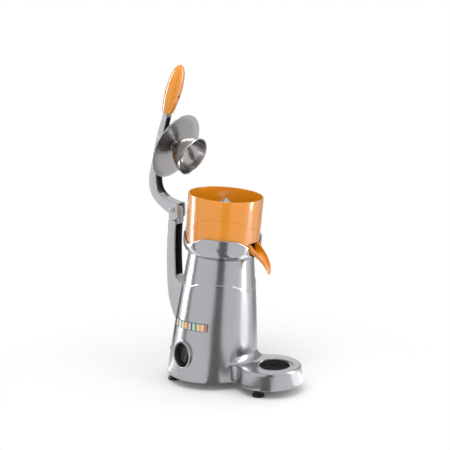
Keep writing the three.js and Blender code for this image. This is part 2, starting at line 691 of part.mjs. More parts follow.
// Head casting: deck, hub for the seal, and the flared edge that the bowl drops into
function makeHead() {
  const deck = HEAD_DECK_TOP;
  const edge = HEAD_EDGE_HEIGHT;
  const seat = BODY_TOP + CLEARANCE;
  const outer = HEAD_RADIUS;
  const inner = BOWL_SKIRT_RADIUS + 2 * CLEARANCE;
  const rise = edge - seat;
  const bore = SEAL_RADIUS + CLEARANCE;
  const flare = outer - BODY_NECK_RADIUS;
  const points = [
    [bore, BODY_TOP - SHELF_DROP + CLEARANCE],
    [SPIGOT_RADIUS - CLEARANCE, BODY_TOP - SHELF_DROP + CLEARANCE],
    [SPIGOT_RADIUS - CLEARANCE, seat],
    [outer - flare, seat],
    [outer - flare * 0.6, seat + rise * 0.09],
    [outer - flare * 0.27, seat + rise * 0.23],
    [outer - flare * 0.06, seat + rise * 0.44, 0.1],
    [outer, seat + rise * 0.7, 0.5],
    [outer - HEAD_EDGE * 0.1, edge - HEAD_EDGE * 0.5, 1],
    [outer - HEAD_EDGE * 0.5, edge, 1],
    [inner, edge - HEAD_EDGE * 0.4, 1],
    [inner, seat + rise * 0.5, 0.2],
    [inner - BOWL_CORNER * 0.1, deck + BOWL_CORNER],
    [inner - BOWL_CORNER * 0.4, deck + BOWL_CORNER * 0.35],
    [inner - BOWL_CORNER, deck],
    [HEAD_HUB_RADIUS, deck],
    [HEAD_HUB_RADIUS, HEAD_HUB_TOP],
    [bore, HEAD_HUB_TOP],
    [bore, BODY_TOP - SHELF_DROP + CLEARANCE],
  ];
  const casting = solid(turnedWave(points));
  const notch = solid(lofted(spoutSections(SPOUT_WALL + CLEARANCE, true)));
  const bolts = boltPlaces().map((place) => solid(moved(turned([
    [0, BODY_TOP - 2 * SHELF_DROP], [HEAD_BOLT_RADIUS + CLEARANCE, BODY_TOP - 2 * SHELF_DROP],
    [HEAD_BOLT_RADIUS + CLEARANCE, headBoltSeat - CLEARANCE], [HEAD_BOLT_HEAD + CLEARANCE, headBoltSeat - CLEARANCE],
    [HEAD_BOLT_HEAD + CLEARANCE, deck + OVERRUN], [0, deck + OVERRUN]], SCREW_STEPS), place)));
  return cutFrom(casting, notch, ...bolts);
}

// Spout: an open trough that bends down and narrows to a rounded tip
const SPOUT_KEEL_SHARES = [[-0.3, 0.475], [0, 0.475], [0.22, 0.51], [0.44, 0.59], [0.64, 0.70], [0.81, 0.82], [0.92, 0.92], [0.975, 0.985]];
const SPOUT_LIP_SHARES = [[-0.3, 0], [0.03, 0.055], [0.28, 0.2], [0.5, 0.335], [0.7, 0.475], [0.865, 0.64], [0.95, 0.8], [0.995, 0.95]];
const SPOUT_WIDTH_SHARES = [1, 1, 0.94, 0.83, 0.68, 0.54, 0.42, 0.27];

function spoutSections(grow, filled) {
  const root = bowlWallAt(SPOUT_TOP);
  return SPOUT_KEEL_SHARES.map(([keelOut, keelDown], i) => {
    const [lipOut, lipDown] = SPOUT_LIP_SHARES[i];
    const half = SPOUT_HALF_WIDTH * SPOUT_WIDTH_SHARES[i] + grow;
    const keel = new THREE.Vector2(root + SPOUT_REACH * keelOut, SPOUT_TOP - SPOUT_DROP * keelDown);
    const lip = new THREE.Vector2(root + SPOUT_REACH * lipOut, SPOUT_TOP - SPOUT_DROP * lipDown);
    const away = lip.clone().sub(keel).normalize();
    keel.addScaledVector(away, -grow);
    if (filled) lip.addScaledVector(away, OVERRUN * 4);
    return troughRing(keel, lip, half);
  });
}

const bowlWallAt = () => BOWL_SKIRT_RADIUS;

// A U-shaped ring across the trough: straight sides on a half-round keel
function troughRing(keel, lip, half) {
  const ring = [];
  const depth = lip.distanceTo(keel);
  const turn = Math.min(half, depth * 0.9);
  const place = (x, up) => {
    const p = keel.clone().lerp(lip, up / depth);
    return new THREE.Vector3(x, -p.x, p.y);
  };
  ring.push(place(half, depth));
  for (let i = 0; i <= 6; i += 1) {
    const angle = Math.PI * i / 6;
    ring.push(place(half * Math.cos(angle), turn * (1 - Math.sin(angle))));
  }
  ring.push(place(-half, depth));
  return ring;
}

function makeBowl() {
  const under = HEAD_DECK_TOP + CLEARANCE;
  const floor = under + BOWL_WALL + 1.5;
  const skirt = BOWL_SKIRT_RADIUS;
  const groove = HEAD_EDGE_HEIGHT + BOWL_GROOVE_RISE;
  const ledge = BOWL_LEDGE_HEIGHT;
  const inner = BOWL_RADIUS - BOWL_WALL;
  const hubInner = HEAD_HUB_RADIUS + 1.5;
  const points = [
    [hubInner, under],
    [skirt - BOWL_CORNER, under],
    [skirt - BOWL_CORNER * 0.4, under + BOWL_CORNER * 0.35],
    [skirt - BOWL_CORNER * 0.1, under + BOWL_CORNER],
    [skirt, HEAD_EDGE_HEIGHT, 1],
    [skirt + BOWL_DRAFT / 2, groove - BOWL_GROOVE_DEPTH, 1],
    [skirt + BOWL_DRAFT / 2 - BOWL_GROOVE_DEPTH, groove, 1],
    [skirt + BOWL_DRAFT / 2, groove + BOWL_GROOVE_DEPTH, 1],
    [BOWL_RADIUS, BOWL_RIM - BOWL_WALL / 2],
    [BOWL_RADIUS - BOWL_WALL / 2, BOWL_RIM],
    [inner, BOWL_RIM - BOWL_WALL / 2],
    [inner, ledge + BOWL_LEDGE_WIDTH / 2],
    [inner - BOWL_LEDGE_WIDTH, ledge],
    [inner - BOWL_LEDGE_WIDTH, floor + BOWL_CORNER],
    [inner - BOWL_LEDGE_WIDTH * 3, floor],
    [BOWL_HUB_RADIUS + BOWL_WALL, floor],
    [BOWL_HUB_RADIUS, BOWL_HUB_TOP],
    [hubInner, BOWL_HUB_TOP],
    [hubInner, under],
  ];
  const shell = solid(turnedWave(points));
  const outside = solid(lofted(spoutSections(0, false)));
  const channel = solid(lofted(spoutSections(-SPOUT_WALL, true)));
  const room = solid(rod(inner - 2 * BOWL_LEDGE_WIDTH, floor, BOWL_RIM, ROUND_STEPS));
  const keepBelow = moved(block(4 * SPOUT_HALF_WIDTH, 2 * skirt, MOUTH_TOP - floor),
    shift(0, -skirt, (MOUTH_TOP + floor) / 2));
  const mouth = moved(block(2 * MOUTH_HALF_WIDTH, 4 * BOWL_CORNER, MOUTH_TOP - floor),
    shift(0, -skirt, (MOUTH_TOP + floor) / 2));
  const trough = outside.subtract(room).subtract(channel);
  const hole = solid(mouth).intersect(channel.intersect(solid(keepBelow)));
  return shell.add(trough).subtract(hole);
}

// Strainer: rim on the bowl's ledge, side, and a floor with radial slots round the hub
function makeStrainer() {
  const t = STRAINER_SHEET;
  const ledge = BOWL_LEDGE_HEIGHT + CLEARANCE + 1;
  const floor = STRAINER_FLOOR_HEIGHT;
  const rim = STRAINER_RIM_RADIUS;
  const side = rim - 2 * BOWL_LEDGE_WIDTH;
  const sheet = solid(turned([
    [STRAINER_BORE_RADIUS, floor], [STRAINER_FLOOR_RADIUS, floor], [side, ledge], [rim, ledge],
    [rim, ledge + t], [side - t, ledge + t], [STRAINER_FLOOR_RADIUS - t, floor + t],
    [STRAINER_BORE_RADIUS, floor + t], [STRAINER_BORE_RADIUS, floor],
  ], MIDDLE_STEPS));
  const middle = (STRAINER_BORE_RADIUS + STRAINER_FLOOR_RADIUS) / 2;
  const slots = Array.from({ length: STRAINER_SLOTS }, (_, i) => solid(moved(
    block(STRAINER_SLOT_LENGTH, STRAINER_SLOT_WIDTH, 8 * t),
    shift(middle, 0, floor), turnZ(i * 360 / STRAINER_SLOTS))));
  return cutFrom(sheet, ...slots);
}

// Reamer: a ribbed dome, hollow below, with a socket for the shaft
const REAMER_SHARES = [[1.05, 0], [1.05, 0.03], [0.99, 0.08], [0.95, 0.32], [0.82, 0.58], [0.58, 0.79], [0.26, 0.95]];

function makeReamer() {
  const height = REAMER_TIP - REAMER_FOOT;
  const steps = REAMER_RIBS * 4;
  const outerShares = REAMER_SHARES;
  const points = outerShares.map(([r, h]) => new THREE.Vector2(REAMER_RADIUS * r, REAMER_FOOT + height * h));
  points.push(new THREE.Vector2(0, REAMER_TIP));
  points.unshift(new THREE.Vector2(0, REAMER_FOOT));
  const lathe = new THREE.LatheGeometry(points, steps);
  const position = lathe.attributes.position;
  for (let i = 0; i < position.count; i += 1) {
    const [x, y, z] = [position.getX(i), position.getY(i), position.getZ(i)];
    const up = (y - REAMER_FOOT) / height;
    const depth = REAMER_RIB_DEPTH_SHARE * THREE.MathUtils.smoothstep(up, 0.05, 0.2);
    const groove = (1 - Math.cos(REAMER_RIBS * Math.atan2(x, z))) / 2;
    const draw = 1 - depth * groove ** 0.7;
    position.setXYZ(i, x * draw, y, z * draw);
  }
  const wall = REAMER_WALL;
  const hollow = REAMER_SHARES.slice(2, 5).map(([r, h]) => [
    REAMER_RADIUS * r * (1 - REAMER_RIB_DEPTH_SHARE) - wall, REAMER_FOOT + (height - 2 * wall) * h]);
  const socket = REAMER_SOCKET_RADIUS;
  const roof = SHAFT_TOP + 2 * wall;
  const inside = turned([[socket, REAMER_FOOT - OVERRUN], [hollow[0][0], REAMER_FOOT - OVERRUN],
    ...hollow, [socket + wall, roof], [socket, roof - wall], [socket, REAMER_FOOT - OVERRUN]], INNER_STEPS);
  const bore = solid(rod(SHAFT_TOP_RADIUS + CLEARANCE, REAMER_FOOT - OVERRUN, SHAFT_TOP + CLEARANCE));
  const keepFlats = solid(moved(block(4 * SHAFT_RADIUS, 2 * (SHAFT_FLAT + CLEARANCE), 2 * SHAFT_TOP),
    shift(0, 0, SHAFT_TOP)));
  const shortened = solid(tube(0.5, socket + CLEARANCE, REAMER_FOOT - OVERRUN, REAMER_FOOT + wall, SMALL_STEPS));
  return solid(moved(lathe, turnX(90))).subtract(solid(inside)).subtract(bore.intersect(keepFlats))
    .subtract(shortened).subtract(solid(rod(socket, REAMER_FOOT - OVERRUN, REAMER_FOOT + wall)));
}

function makeShaft() {
  const coreTop = CORE_BOTTOM + CORE_HEIGHT + WINDING_HEIGHT / 2;
  const coreBottom = CORE_BOTTOM - WINDING_HEIGHT / 2;
  const shaft = solid(turned([
    [0, SHAFT_BOTTOM], [SHAFT_LOWER_RADIUS, SHAFT_BOTTOM], [SHAFT_LOWER_RADIUS, coreBottom],
    [SHAFT_CORE_RADIUS, coreBottom], [SHAFT_CORE_RADIUS, coreTop], [SHAFT_RADIUS, coreTop],
    [SHAFT_RADIUS, SHAFT_STEP], [SHAFT_TOP_RADIUS, SHAFT_STEP], [SHAFT_TOP_RADIUS, SHAFT_TOP - 1],
    [SHAFT_TOP_RADIUS - 1, SHAFT_TOP], [0, SHAFT_TOP]], SMALL_STEPS));
  const side = SHAFT_FLAT + SHAFT_TOP_RADIUS;
  const flats = [-side, side].map((y) => solid(moved(
    block(4 * SHAFT_RADIUS, 2 * SHAFT_TOP_RADIUS, SHAFT_TOP - REAMER_FOOT + OVERRUN),
    shift(0, y, (SHAFT_TOP + REAMER_FOOT + OVERRUN) / 2))));
  return cutFrom(shaft, ...flats);
}

const headBoltSeat = HEAD_DECK_TOP - HEAD_BOLT_SUNK;
const motorTop = BODY_TOP - SHELF_DROP - SHELF_THICKNESS - CLEARANCE;

// End shield with a bearing pocket; the upper one takes the head bolts
function makeShield(from, to, pocketFrom, pocketTo, passage) {
  const pocket = BEARING_RADIUS + CLEARANCE;
  const plate = solid(tube(passage, MOTOR_RADIUS, from, to, INNER_STEPS));
  return plate.subtract(solid(rod(pocket, pocketFrom, pocketTo)));
}

function makeUpperShield() {
  const from = motorTop - MOTOR_SHIELD;
  const shield = makeShield(from, motorTop, from - OVERRUN, from + BEARING_HEIGHT + CLEARANCE,
    SHAFT_RADIUS + 1.5);
  const holes = boltPlaces().map((place) => solid(moved(
    rod(HEAD_BOLT_RADIUS + CLEARANCE, from - OVERRUN, motorTop + OVERRUN, SCREW_STEPS), place)));
  return cutFrom(shield, ...holes);
}

function makeLowerShield() {
  const to = MOTOR_BOTTOM + MOTOR_SHIELD;
  return makeShield(MOTOR_BOTTOM, to, MOTOR_BOTTOM - OVERRUN, MOTOR_BOTTOM + BEARING_HEIGHT + CLEARANCE,
    SHAFT_LOWER_RADIUS + 1.5);
}

function makeBearing(bore, from) {
  const inner = bore + CLEARANCE;
  return tube(inner, BEARING_RADIUS, from, from + BEARING_HEIGHT, SMALL_STEPS);
}

function makeWinding(from) {
  const inner = WINDING_INNER;
  const outer = WINDING_OUTER;
  const to = from + WINDING_HEIGHT - CLEARANCE;
  const bulge = (outer - inner) * 0.2;
  return turned([[inner, from], [outer, from], [outer, to - bulge], [outer - bulge, to],
    [inner + bulge, to], [inner, from]], INNER_STEPS);
}

function makeFan() {
  const bore = SHAFT_LOWER_RADIUS + CLEARANCE;
  const bottom = SHAFT_BOTTOM + 2;
  const top = bottom + FAN_HEIGHT;
  const hub = bore + 5;
  const disc = solid(turned([[bore, bottom], [FAN_RADIUS, bottom], [FAN_RADIUS, bottom + FAN_DISC],
    [hub, bottom + FAN_DISC], [hub, top], [bore, top], [bore, bottom]], SMALL_STEPS));
  const length = FAN_RADIUS - hub;
  const blades = Array.from({ length: FAN_BLADES }, (_, i) => solid(moved(
    block(length, FAN_BLADE_THICKNESS, FAN_HEIGHT - FAN_DISC / 2),
    turnZ(20), shift(hub - 1 + length / 2, 0, (bottom + FAN_DISC / 2 + top) / 2), turnZ(i * 360 / FAN_BLADES))));
  const limit = solid(tube(bore, FAN_RADIUS, bottom, top, SMALL_STEPS));
  return joined(disc, ...blades).intersect(limit);
}

function makeHeadBolt() {
  const seat = headBoltSeat;
  const tip = motorTop - MOTOR_SHIELD + 1;
  const bolt = solid(turned([[0, tip], [HEAD_BOLT_RADIUS, tip], [HEAD_BOLT_RADIUS, seat], [HEAD_BOLT_HEAD, seat],
    [HEAD_BOLT_HEAD, seat + HEAD_BOLT_HEAD_HEIGHT], [0, seat + HEAD_BOLT_HEAD_HEIGHT]], SCREW_STEPS));
  const socket = solid(rod(HEAD_BOLT_RADIUS * 0.8, seat + HEAD_BOLT_HEAD_HEIGHT / 2, seat + 2 * HEAD_BOLT_HEAD_HEIGHT, 6));
  return geometryOf(bolt.subtract(socket));
}

// Everything that stands on the base plate
function makeCapacitor() {
  const ends = CAPACITOR_LENGTH / 2;
  const can = turned([[0, -ends], [CAPACITOR_RADIUS - 1.5, -ends], [CAPACITOR_RADIUS, 1.5 - ends],
    [CAPACITOR_RADIUS, ends - 1.5], [CAPACITOR_RADIUS - 1.5, ends], [5, ends], [5, ends + 6], [0, ends + 6]], SMALL_STEPS);
  return moved(can, turnX(-90), shift(CAPACITOR_SIDE, 0, plateTop + CLEARANCE + CAPACITOR_RADIUS));
}

function makeStrap() {
  const inner = CAPACITOR_RADIUS + CLEARANCE;
  const outer = inner + STRAP_SHEET;
  const middle = plateTop + CLEARANCE + CAPACITOR_RADIUS;
  const hoop = solid(moved(tube(inner, outer, -STRAP_WIDTH / 2, STRAP_WIDTH / 2, SMALL_STEPS), turnX(-90)));
  const floor = plateTop + CLEARANCE - middle;
  const upper = solid(moved(block(4 * outer, 2 * STRAP_WIDTH, 2 * outer), shift(0, 0, outer)));
  const parts = [-1, 1].flatMap((side) => [
    solid(moved(block(STRAP_SHEET, STRAP_WIDTH, STRAP_SHEET - floor),
      shift(side * (inner + outer) / 2, 0, (floor + STRAP_SHEET) / 2))),
    solid(moved(block(STRAP_FOOT, STRAP_WIDTH, STRAP_SHEET),
      shift(side * (inner + STRAP_FOOT / 2), 0, floor + STRAP_SHEET / 2))),
  ]);
  const strap = joined(hoop.intersect(upper), ...parts);
  return geometryOf(strap.translate([CAPACITOR_SIDE, 0, middle]));
}

function makeTerminalBlock() {
  const body = solid(block(TERMINAL_LENGTH, TERMINAL_WIDTH, TERMINAL_HEIGHT));
  const pitch = TERMINAL_LENGTH / TERMINAL_WAYS;
  const wells = Array.from({ length: TERMINAL_WAYS }, (_, i) => solid(moved(
    rod(pitch / 3, 0, TERMINAL_HEIGHT, SCREW_STEPS), shift((i + 0.5) * pitch - TERMINAL_LENGTH / 2, 0, 0))));
  const moulded = cutFrom(body, ...wells);
  return geometryOf(moulded.translate([-TERMINAL_SIDE, TERMINAL_BACK,
    plateTop + CLEARANCE + TERMINAL_HEIGHT / 2]));
}

function makeGland() {
  const wall = glandSeat;
  const outside = wall + CLEARANCE;
  const nut = GLAND_RADIUS;
  const end = outside + GLAND_OUTSIDE;
  const body = turned([
    [GLAND_BORE_RADIUS, wall - BODY_WALL - GLAND_INSIDE], [GLAND_THREAD_RADIUS, wall - BODY_WALL - GLAND_INSIDE],
    [GLAND_THREAD_RADIUS, outside], [nut, outside], [nut, outside + GLAND_OUTSIDE * 0.4],
    [nut - 1, outside + GLAND_OUTSIDE * 0.45], [nut - 1, outside + GLAND_OUTSIDE * 0.8],
    [nut - 3.5, end], [GLAND_BORE_RADIUS, end], [GLAND_BORE_RADIUS, wall - BODY_WALL - GLAND_INSIDE]], SCREW_STEPS);
  return moved(body, turnX(-90), shift(0, 0, GLAND_HEIGHT));
}

// Switch: an oval liner with a slot, the rocker on its floor and the body behind it
function makeLiner() {
  const w = SWITCH_HALF_WIDTH - CLEARANCE;
  const h = SWITCH_HALF_HEIGHT - CLEARANCE;
  const face = switchFace;
  const floor = face - SWITCH_DEPTH;
  const outer = solid(oval(w, h, floor - LINER_FLOOR + CLEARANCE, face - 0.4));
  const inner = solid(oval(w - LINER_WALL, h - LINER_WALL, floor, face + OVERRUN));
  const slot = solid(moved(block(ROCKER_WIDTH + 2 * CLEARANCE, 3 * LINER_FLOOR, ROCKER_HEIGHT + 2 * CLEARANCE),
    shift(0, -floor, 0)));
  return outer.subtract(inner).subtract(slot);
}

function makeSwitchBody() {
  const front = switchFace - SWITCH_DEPTH - LINER_FLOOR;
  const wide = ROCKER_WIDTH + 2 * SWITCH_BODY_WALL + 2 * CLEARANCE;
  const tall = ROCKER_HEIGHT + 2 * SWITCH_BODY_WALL + 2 * CLEARANCE;
  const box = solid(moved(block(wide, SWITCH_BODY_DEPTH, tall), shift(0, SWITCH_BODY_DEPTH / 2 - front, 0)));
  const well = solid(moved(block(ROCKER_WIDTH + 2 * CLEARANCE, SWITCH_BODY_DEPTH, ROCKER_HEIGHT + 2 * CLEARANCE),
    shift(0, SWITCH_BODY_DEPTH / 2 - front - SWITCH_BODY_DEPTH / 2, 0)));
  return box.subtract(well);
}

// The rocker's face is two shallow slopes; it pivots on its middle
function makeRocker() {
  const half = ROCKER_HEIGHT / 2;
  const shape = new THREE.Shape();
  shape.moveTo(-half, 0);
  shape.lineTo(-half, ROCKER_THICKNESS * 0.55);
  shape.quadraticCurveTo(-half, ROCKER_THICKNESS, -half * 0.86, ROCKER_THICKNESS);
  shape.quadraticCurveTo(0, ROCKER_THICKNESS * 0.62, half * 0.86, ROCKER_THICKNESS);
  shape.quadraticCurveTo(half, ROCKER_THICKNESS, half, ROCKER_THICKNESS * 0.55);
  shape.lineTo(half, 0);
  shape.lineTo(half * 0.3, -ROCKER_THICKNESS * 0.8);
  shape.lineTo(-half * 0.3, -ROCKER_THICKNESS * 0.8);
  const bar = new THREE.ExtrudeGeometry(shape, { depth: ROCKER_WIDTH, bevelEnabled: false, curveSegments: 8 });
  return moved(bar, shift(0, 0, -ROCKER_WIDTH / 2), new THREE.Matrix4().makeBasis(axisZ, axisY.clone().negate(), axisX));
}

// Trim strip: a thin band bent round the flank, level with the table
function makeStrip() {
  const outline = (offset, z) => {
    const points = [];
    for (let i = 0; i <= STRIP_STEPS; i += 1) {
      const heading = rad(THREE.MathUtils.lerp(STRIP_FROM, STRIP_TO, i / STRIP_STEPS));
      const height = stripAxisHeight(heading, z);
      const radius = bodyRadius(height) + offset;
      points.push(new THREE.Vector3(-radius * Math.sin(heading), -radius * Math.cos(heading), height));
    }
    return points;
  };
  const low = STRIP_HEIGHT - STRIP_BREADTH / 2;
  const high = STRIP_HEIGHT + STRIP_BREADTH / 2;
  const band = (z) => [...outline(CLEARANCE + STRIP_THICKNESS, z), ...outline(CLEARANCE, z).reverse()];
  return leaned(lofted([band(low), band((low + high) / 2), band(high)]));
}

// Height along the spindle axis of a point of the flank that lies at a level above the table
function stripAxisHeight(heading, level) {
  let height = alongAxis(level);
  for (let i = 0; i < 8; i += 1) {
    const turn = rad(LEAN) * THREE.MathUtils.smoothstep(height, LEVEL_RINGS_TO, BODY_TOP);
    height = (level + bodyRadius(height) * Math.cos(heading) * Math.sin(turn)) / cosLean;
  }
  return height;
}

// Side outlines are drawn as (back, up) and extruded across the width
function sidePlate(shape, width, round, steps = 5) {
  const settings = { depth: width - 2 * round, bevelEnabled: round > 0, bevelThickness: round,
    bevelSize: round, bevelOffset: -round, bevelSegments: 1, curveSegments: steps };
  const plate = new THREE.ExtrudeGeometry(shape, settings);
  return moved(plate, shift(0, 0, round - width / 2), new THREE.Matrix4().makeBasis(axisY, axisZ, axisX));
}

function columnShape() {
  const front = COLUMN_FRONT;
  const back = COLUMN_FRONT + COLUMN_DEPTH;
  const top = HINGE_HEIGHT - FORK_DROP - CLEARANCE;
  const root = COLUMN_ROOT_HEIGHT;
  const rise = top - root;
  const shape = new THREE.Shape();
  shape.moveTo(front - COLUMN_DEPTH, root);
  shape.lineTo(front - COLUMN_DEPTH * 0.35, root);
  shape.quadraticCurveTo(back - COLUMN_DEPTH * 0.2, root + rise * 0.14, back + COLUMN_BOW * 0.45, root + rise * 0.3);
  shape.quadraticCurveTo(back + COLUMN_BOW * 1.6, root + rise * 0.6, back, top);
  shape.lineTo(front - 1, top);
  shape.quadraticCurveTo(front + COLUMN_BOW * 0.9, root + rise * 0.8, front + COLUMN_BOW * 0.45, root + rise * 0.5);
  shape.quadraticCurveTo(front, root + rise * 0.44, front - COLUMN_DEPTH * 1.6, root + rise * 0.4);
  return shape;
}

function makeColumn() {
  const top = HINGE_HEIGHT - FORK_DROP - CLEARANCE;
  const cast = solid(sidePlate(columnShape(), COLUMN_WIDTH, COLUMN_ROUND));
  const back = COLUMN_FRONT + COLUMN_DEPTH;
  const channel = new THREE.Shape();
  const low = COLUMN_CHANNEL_BOTTOM;
  const high = COLUMN_CHANNEL_TOP;
  const deep = back - COLUMN_WEB;
  channel.moveTo(COLUMN_FRONT - COLUMN_DEPTH, low);
  channel.lineTo(deep - COLUMN_DEPTH * 0.3, low);
  channel.quadraticCurveTo(deep + COLUMN_BOW * 0.5, low, deep + COLUMN_BOW * 0.75, low + COLUMN_DEPTH * 0.6);
  channel.quadraticCurveTo(deep + COLUMN_BOW, (low + high) / 2, deep, high - COLUMN_WEB);
  channel.quadraticCurveTo(deep, high, deep - COLUMN_WEB, high);
  channel.lineTo(COLUMN_FRONT - COLUMN_DEPTH, high);
  const hollow = solid(sidePlate(channel, COLUMN_WIDTH - 2 * COLUMN_WALL, 0));
  const tongue = new THREE.Shape();
  tongue.moveTo(HINGE_BACK + TONGUE_RADIUS * 0.95, top - COLUMN_WEB);
  tongue.lineTo(HINGE_BACK + TONGUE_RADIUS, HINGE_HEIGHT);
  tongue.absarc(HINGE_BACK, HINGE_HEIGHT, TONGUE_RADIUS, 0, Math.PI, false);
  tongue.lineTo(HINGE_BACK - TONGUE_RADIUS * 0.95, top - COLUMN_WEB);
  const lug = solid(sidePlate(tongue, COLUMN_WIDTH - 2 * FORK_CHEEK - 2 * CLEARANCE, 0));
  const bore = solid(hingeRod(PIN_RADIUS + 2 * CLEARANCE + BUSH_WALL, -COLUMN_WIDTH, COLUMN_WIDTH));
  const bolts = COLUMN_BOLT_HEIGHTS.map((height) => solid(moved(
    rod(COLUMN_BOLT_RADIUS + CLEARANCE, 0, columnBoltEnd(height) + 1), turnX(-90), shift(0, 0, height))));
  return cutFrom(cast.subtract(hollow).add(lug), bore, solid(bodyBlank(CLEARANCE)), ...bolts);
}

const columnBoltEnd = (height) => bodyBackAt(height) + COLUMN_BOLT_GRIP;

function makeColumnBolt(height) {
  const seat = bodyBackAt(height) - 2 * BODY_WALL - BODY_RIDGE_STEP;
  const bolt = turned([[0, seat - COLUMN_BOLT_HEAD], [COLUMN_BOLT_HEAD_RADIUS, seat - COLUMN_BOLT_HEAD],
    [COLUMN_BOLT_HEAD_RADIUS, seat], [COLUMN_BOLT_RADIUS, seat], [COLUMN_BOLT_RADIUS, columnBoltEnd(height) - 1],
    [0, columnBoltEnd(height)]], SCREW_STEPS);
  return moved(bolt, turnX(-90), shift(0, 0, height));
}

// A rod along the hinge, measured across the press
function hingeRod(radius, from, to, steps = SMALL_STEPS) {
  return moved(rod(radius, from, to, steps), turnY(90), shift(0, HINGE_BACK, HINGE_HEIGHT));
}

function makeHingePin() {
  const half = COLUMN_WIDTH / 2 + CLEARANCE;
  const pin = solid(turned([[0, -half - PIN_HEAD], [PIN_HEAD_RADIUS - 1.2, -half - PIN_HEAD],
    [PIN_HEAD_RADIUS, -half - PIN_HEAD * 0.55], [PIN_HEAD_RADIUS, -half], [PIN_RADIUS, -half],
    [PIN_RADIUS, half + PIN_HEAD], [0, half + PIN_HEAD]], SMALL_STEPS));
  const socket = solid(rod(PIN_RADIUS * 0.6, -half - 2 * PIN_HEAD, -half - PIN_HEAD + PIN_SOCKET, 6));
  return geometryOf(pin.subtract(socket));
}

function makeHingeNut() {
  const half = COLUMN_WIDTH / 2 + CLEARANCE;
  return turned([[PIN_RADIUS + CLEARANCE, half], [PIN_HEAD_RADIUS, half], [PIN_HEAD_RADIUS, half + PIN_HEAD * 0.7],
    [PIN_HEAD_RADIUS - 1, half + PIN_HEAD], [PIN_RADIUS + CLEARANCE, half + PIN_HEAD],
    [PIN_RADIUS + CLEARANCE, half]], SMALL_STEPS);
}

// Lever outline as shares of its sway behind the hinge and its rise above it
const ARM_BACK_SHARES = [[0.52, 0.028], [0.81, 0.109], [0.97, 0.194], [1, 0.299], [0.947, 0.403], [0.847, 0.521], [0.73, 0.692], [0.595, 0.82], [0.37, 1]];
const ARM_FRONT_SHARES = [[0.19, 0.978], [0.335, 0.834], [0.46, 0.692], [0.56, 0.521], [0.655, 0.403], [0.7, 0.294], [0.63, 0.194], [0.41, 0.128], [0.12, 0.09]];
const ARM_HOLLOW_SHARES = [[0.3, 0.94], [0.44, 0.834], [0.575, 0.692], [0.7, 0.521], [0.79, 0.403], [0.85, 0.299], [0.79, 0.22], [0.6, 0.15], [0.47, 0.118]];

function armPoints(shares) {
  return shares.map(([sway, rise]) => new THREE.Vector2(ARM_SWAY * sway, ARM_RISE * rise));
}

function armShape() {
  const shape = new THREE.Shape();
  const heel = FORK_DROP / 2;
  shape.moveTo(heel, -FORK_DROP);
  shape.lineTo(heel, -FORK_DROP * 0.34);
  shape.splineThru(armPoints(ARM_BACK_SHARES));
  shape.lineTo(...armPoints([ARM_FRONT_SHARES[0]])[0].toArray());
  shape.splineThru(armPoints(ARM_FRONT_SHARES.slice(1)));
  shape.lineTo(-FORK_NOSE * 0.93, FORK_NOSE);
  shape.lineTo(-FORK_NOSE, FORK_NOSE * 0.6);
  shape.lineTo(-FORK_NOSE, -FORK_NOSE * 0.8);
  shape.lineTo(-FORK_NOSE * 0.5, -FORK_DROP * 0.93);
  shape.lineTo(0, -FORK_DROP);
  return shape;
}

// Draws a lever piece in from the fork's width to the width at the grip
function tapered(geometry) {
  const copy = geometry.clone();
  const position = copy.attributes.position;
  for (let i = 0; i < position.count; i += 1) {
    const up = THREE.MathUtils.smoothstep(position.getZ(i), FORK_NOSE * 1.2, ARM_RISE * 0.9);
    const width = THREE.MathUtils.lerp(COLUMN_WIDTH, ARM_TOP_WIDTH, up);
    position.setX(i, position.getX(i) * width / COLUMN_WIDTH);
  }
  return copy;
}

const gripFoot = new THREE.Vector2(ARM_SWAY * 0.285, ARM_RISE * 0.992);

// The grip's own frame: its foot at the origin, its length along +Z
function onGrip(geometry) {
  return moved(geometry, turnX(GRIP_TILT), shift(0, gripFoot.x, gripFoot.y));
}

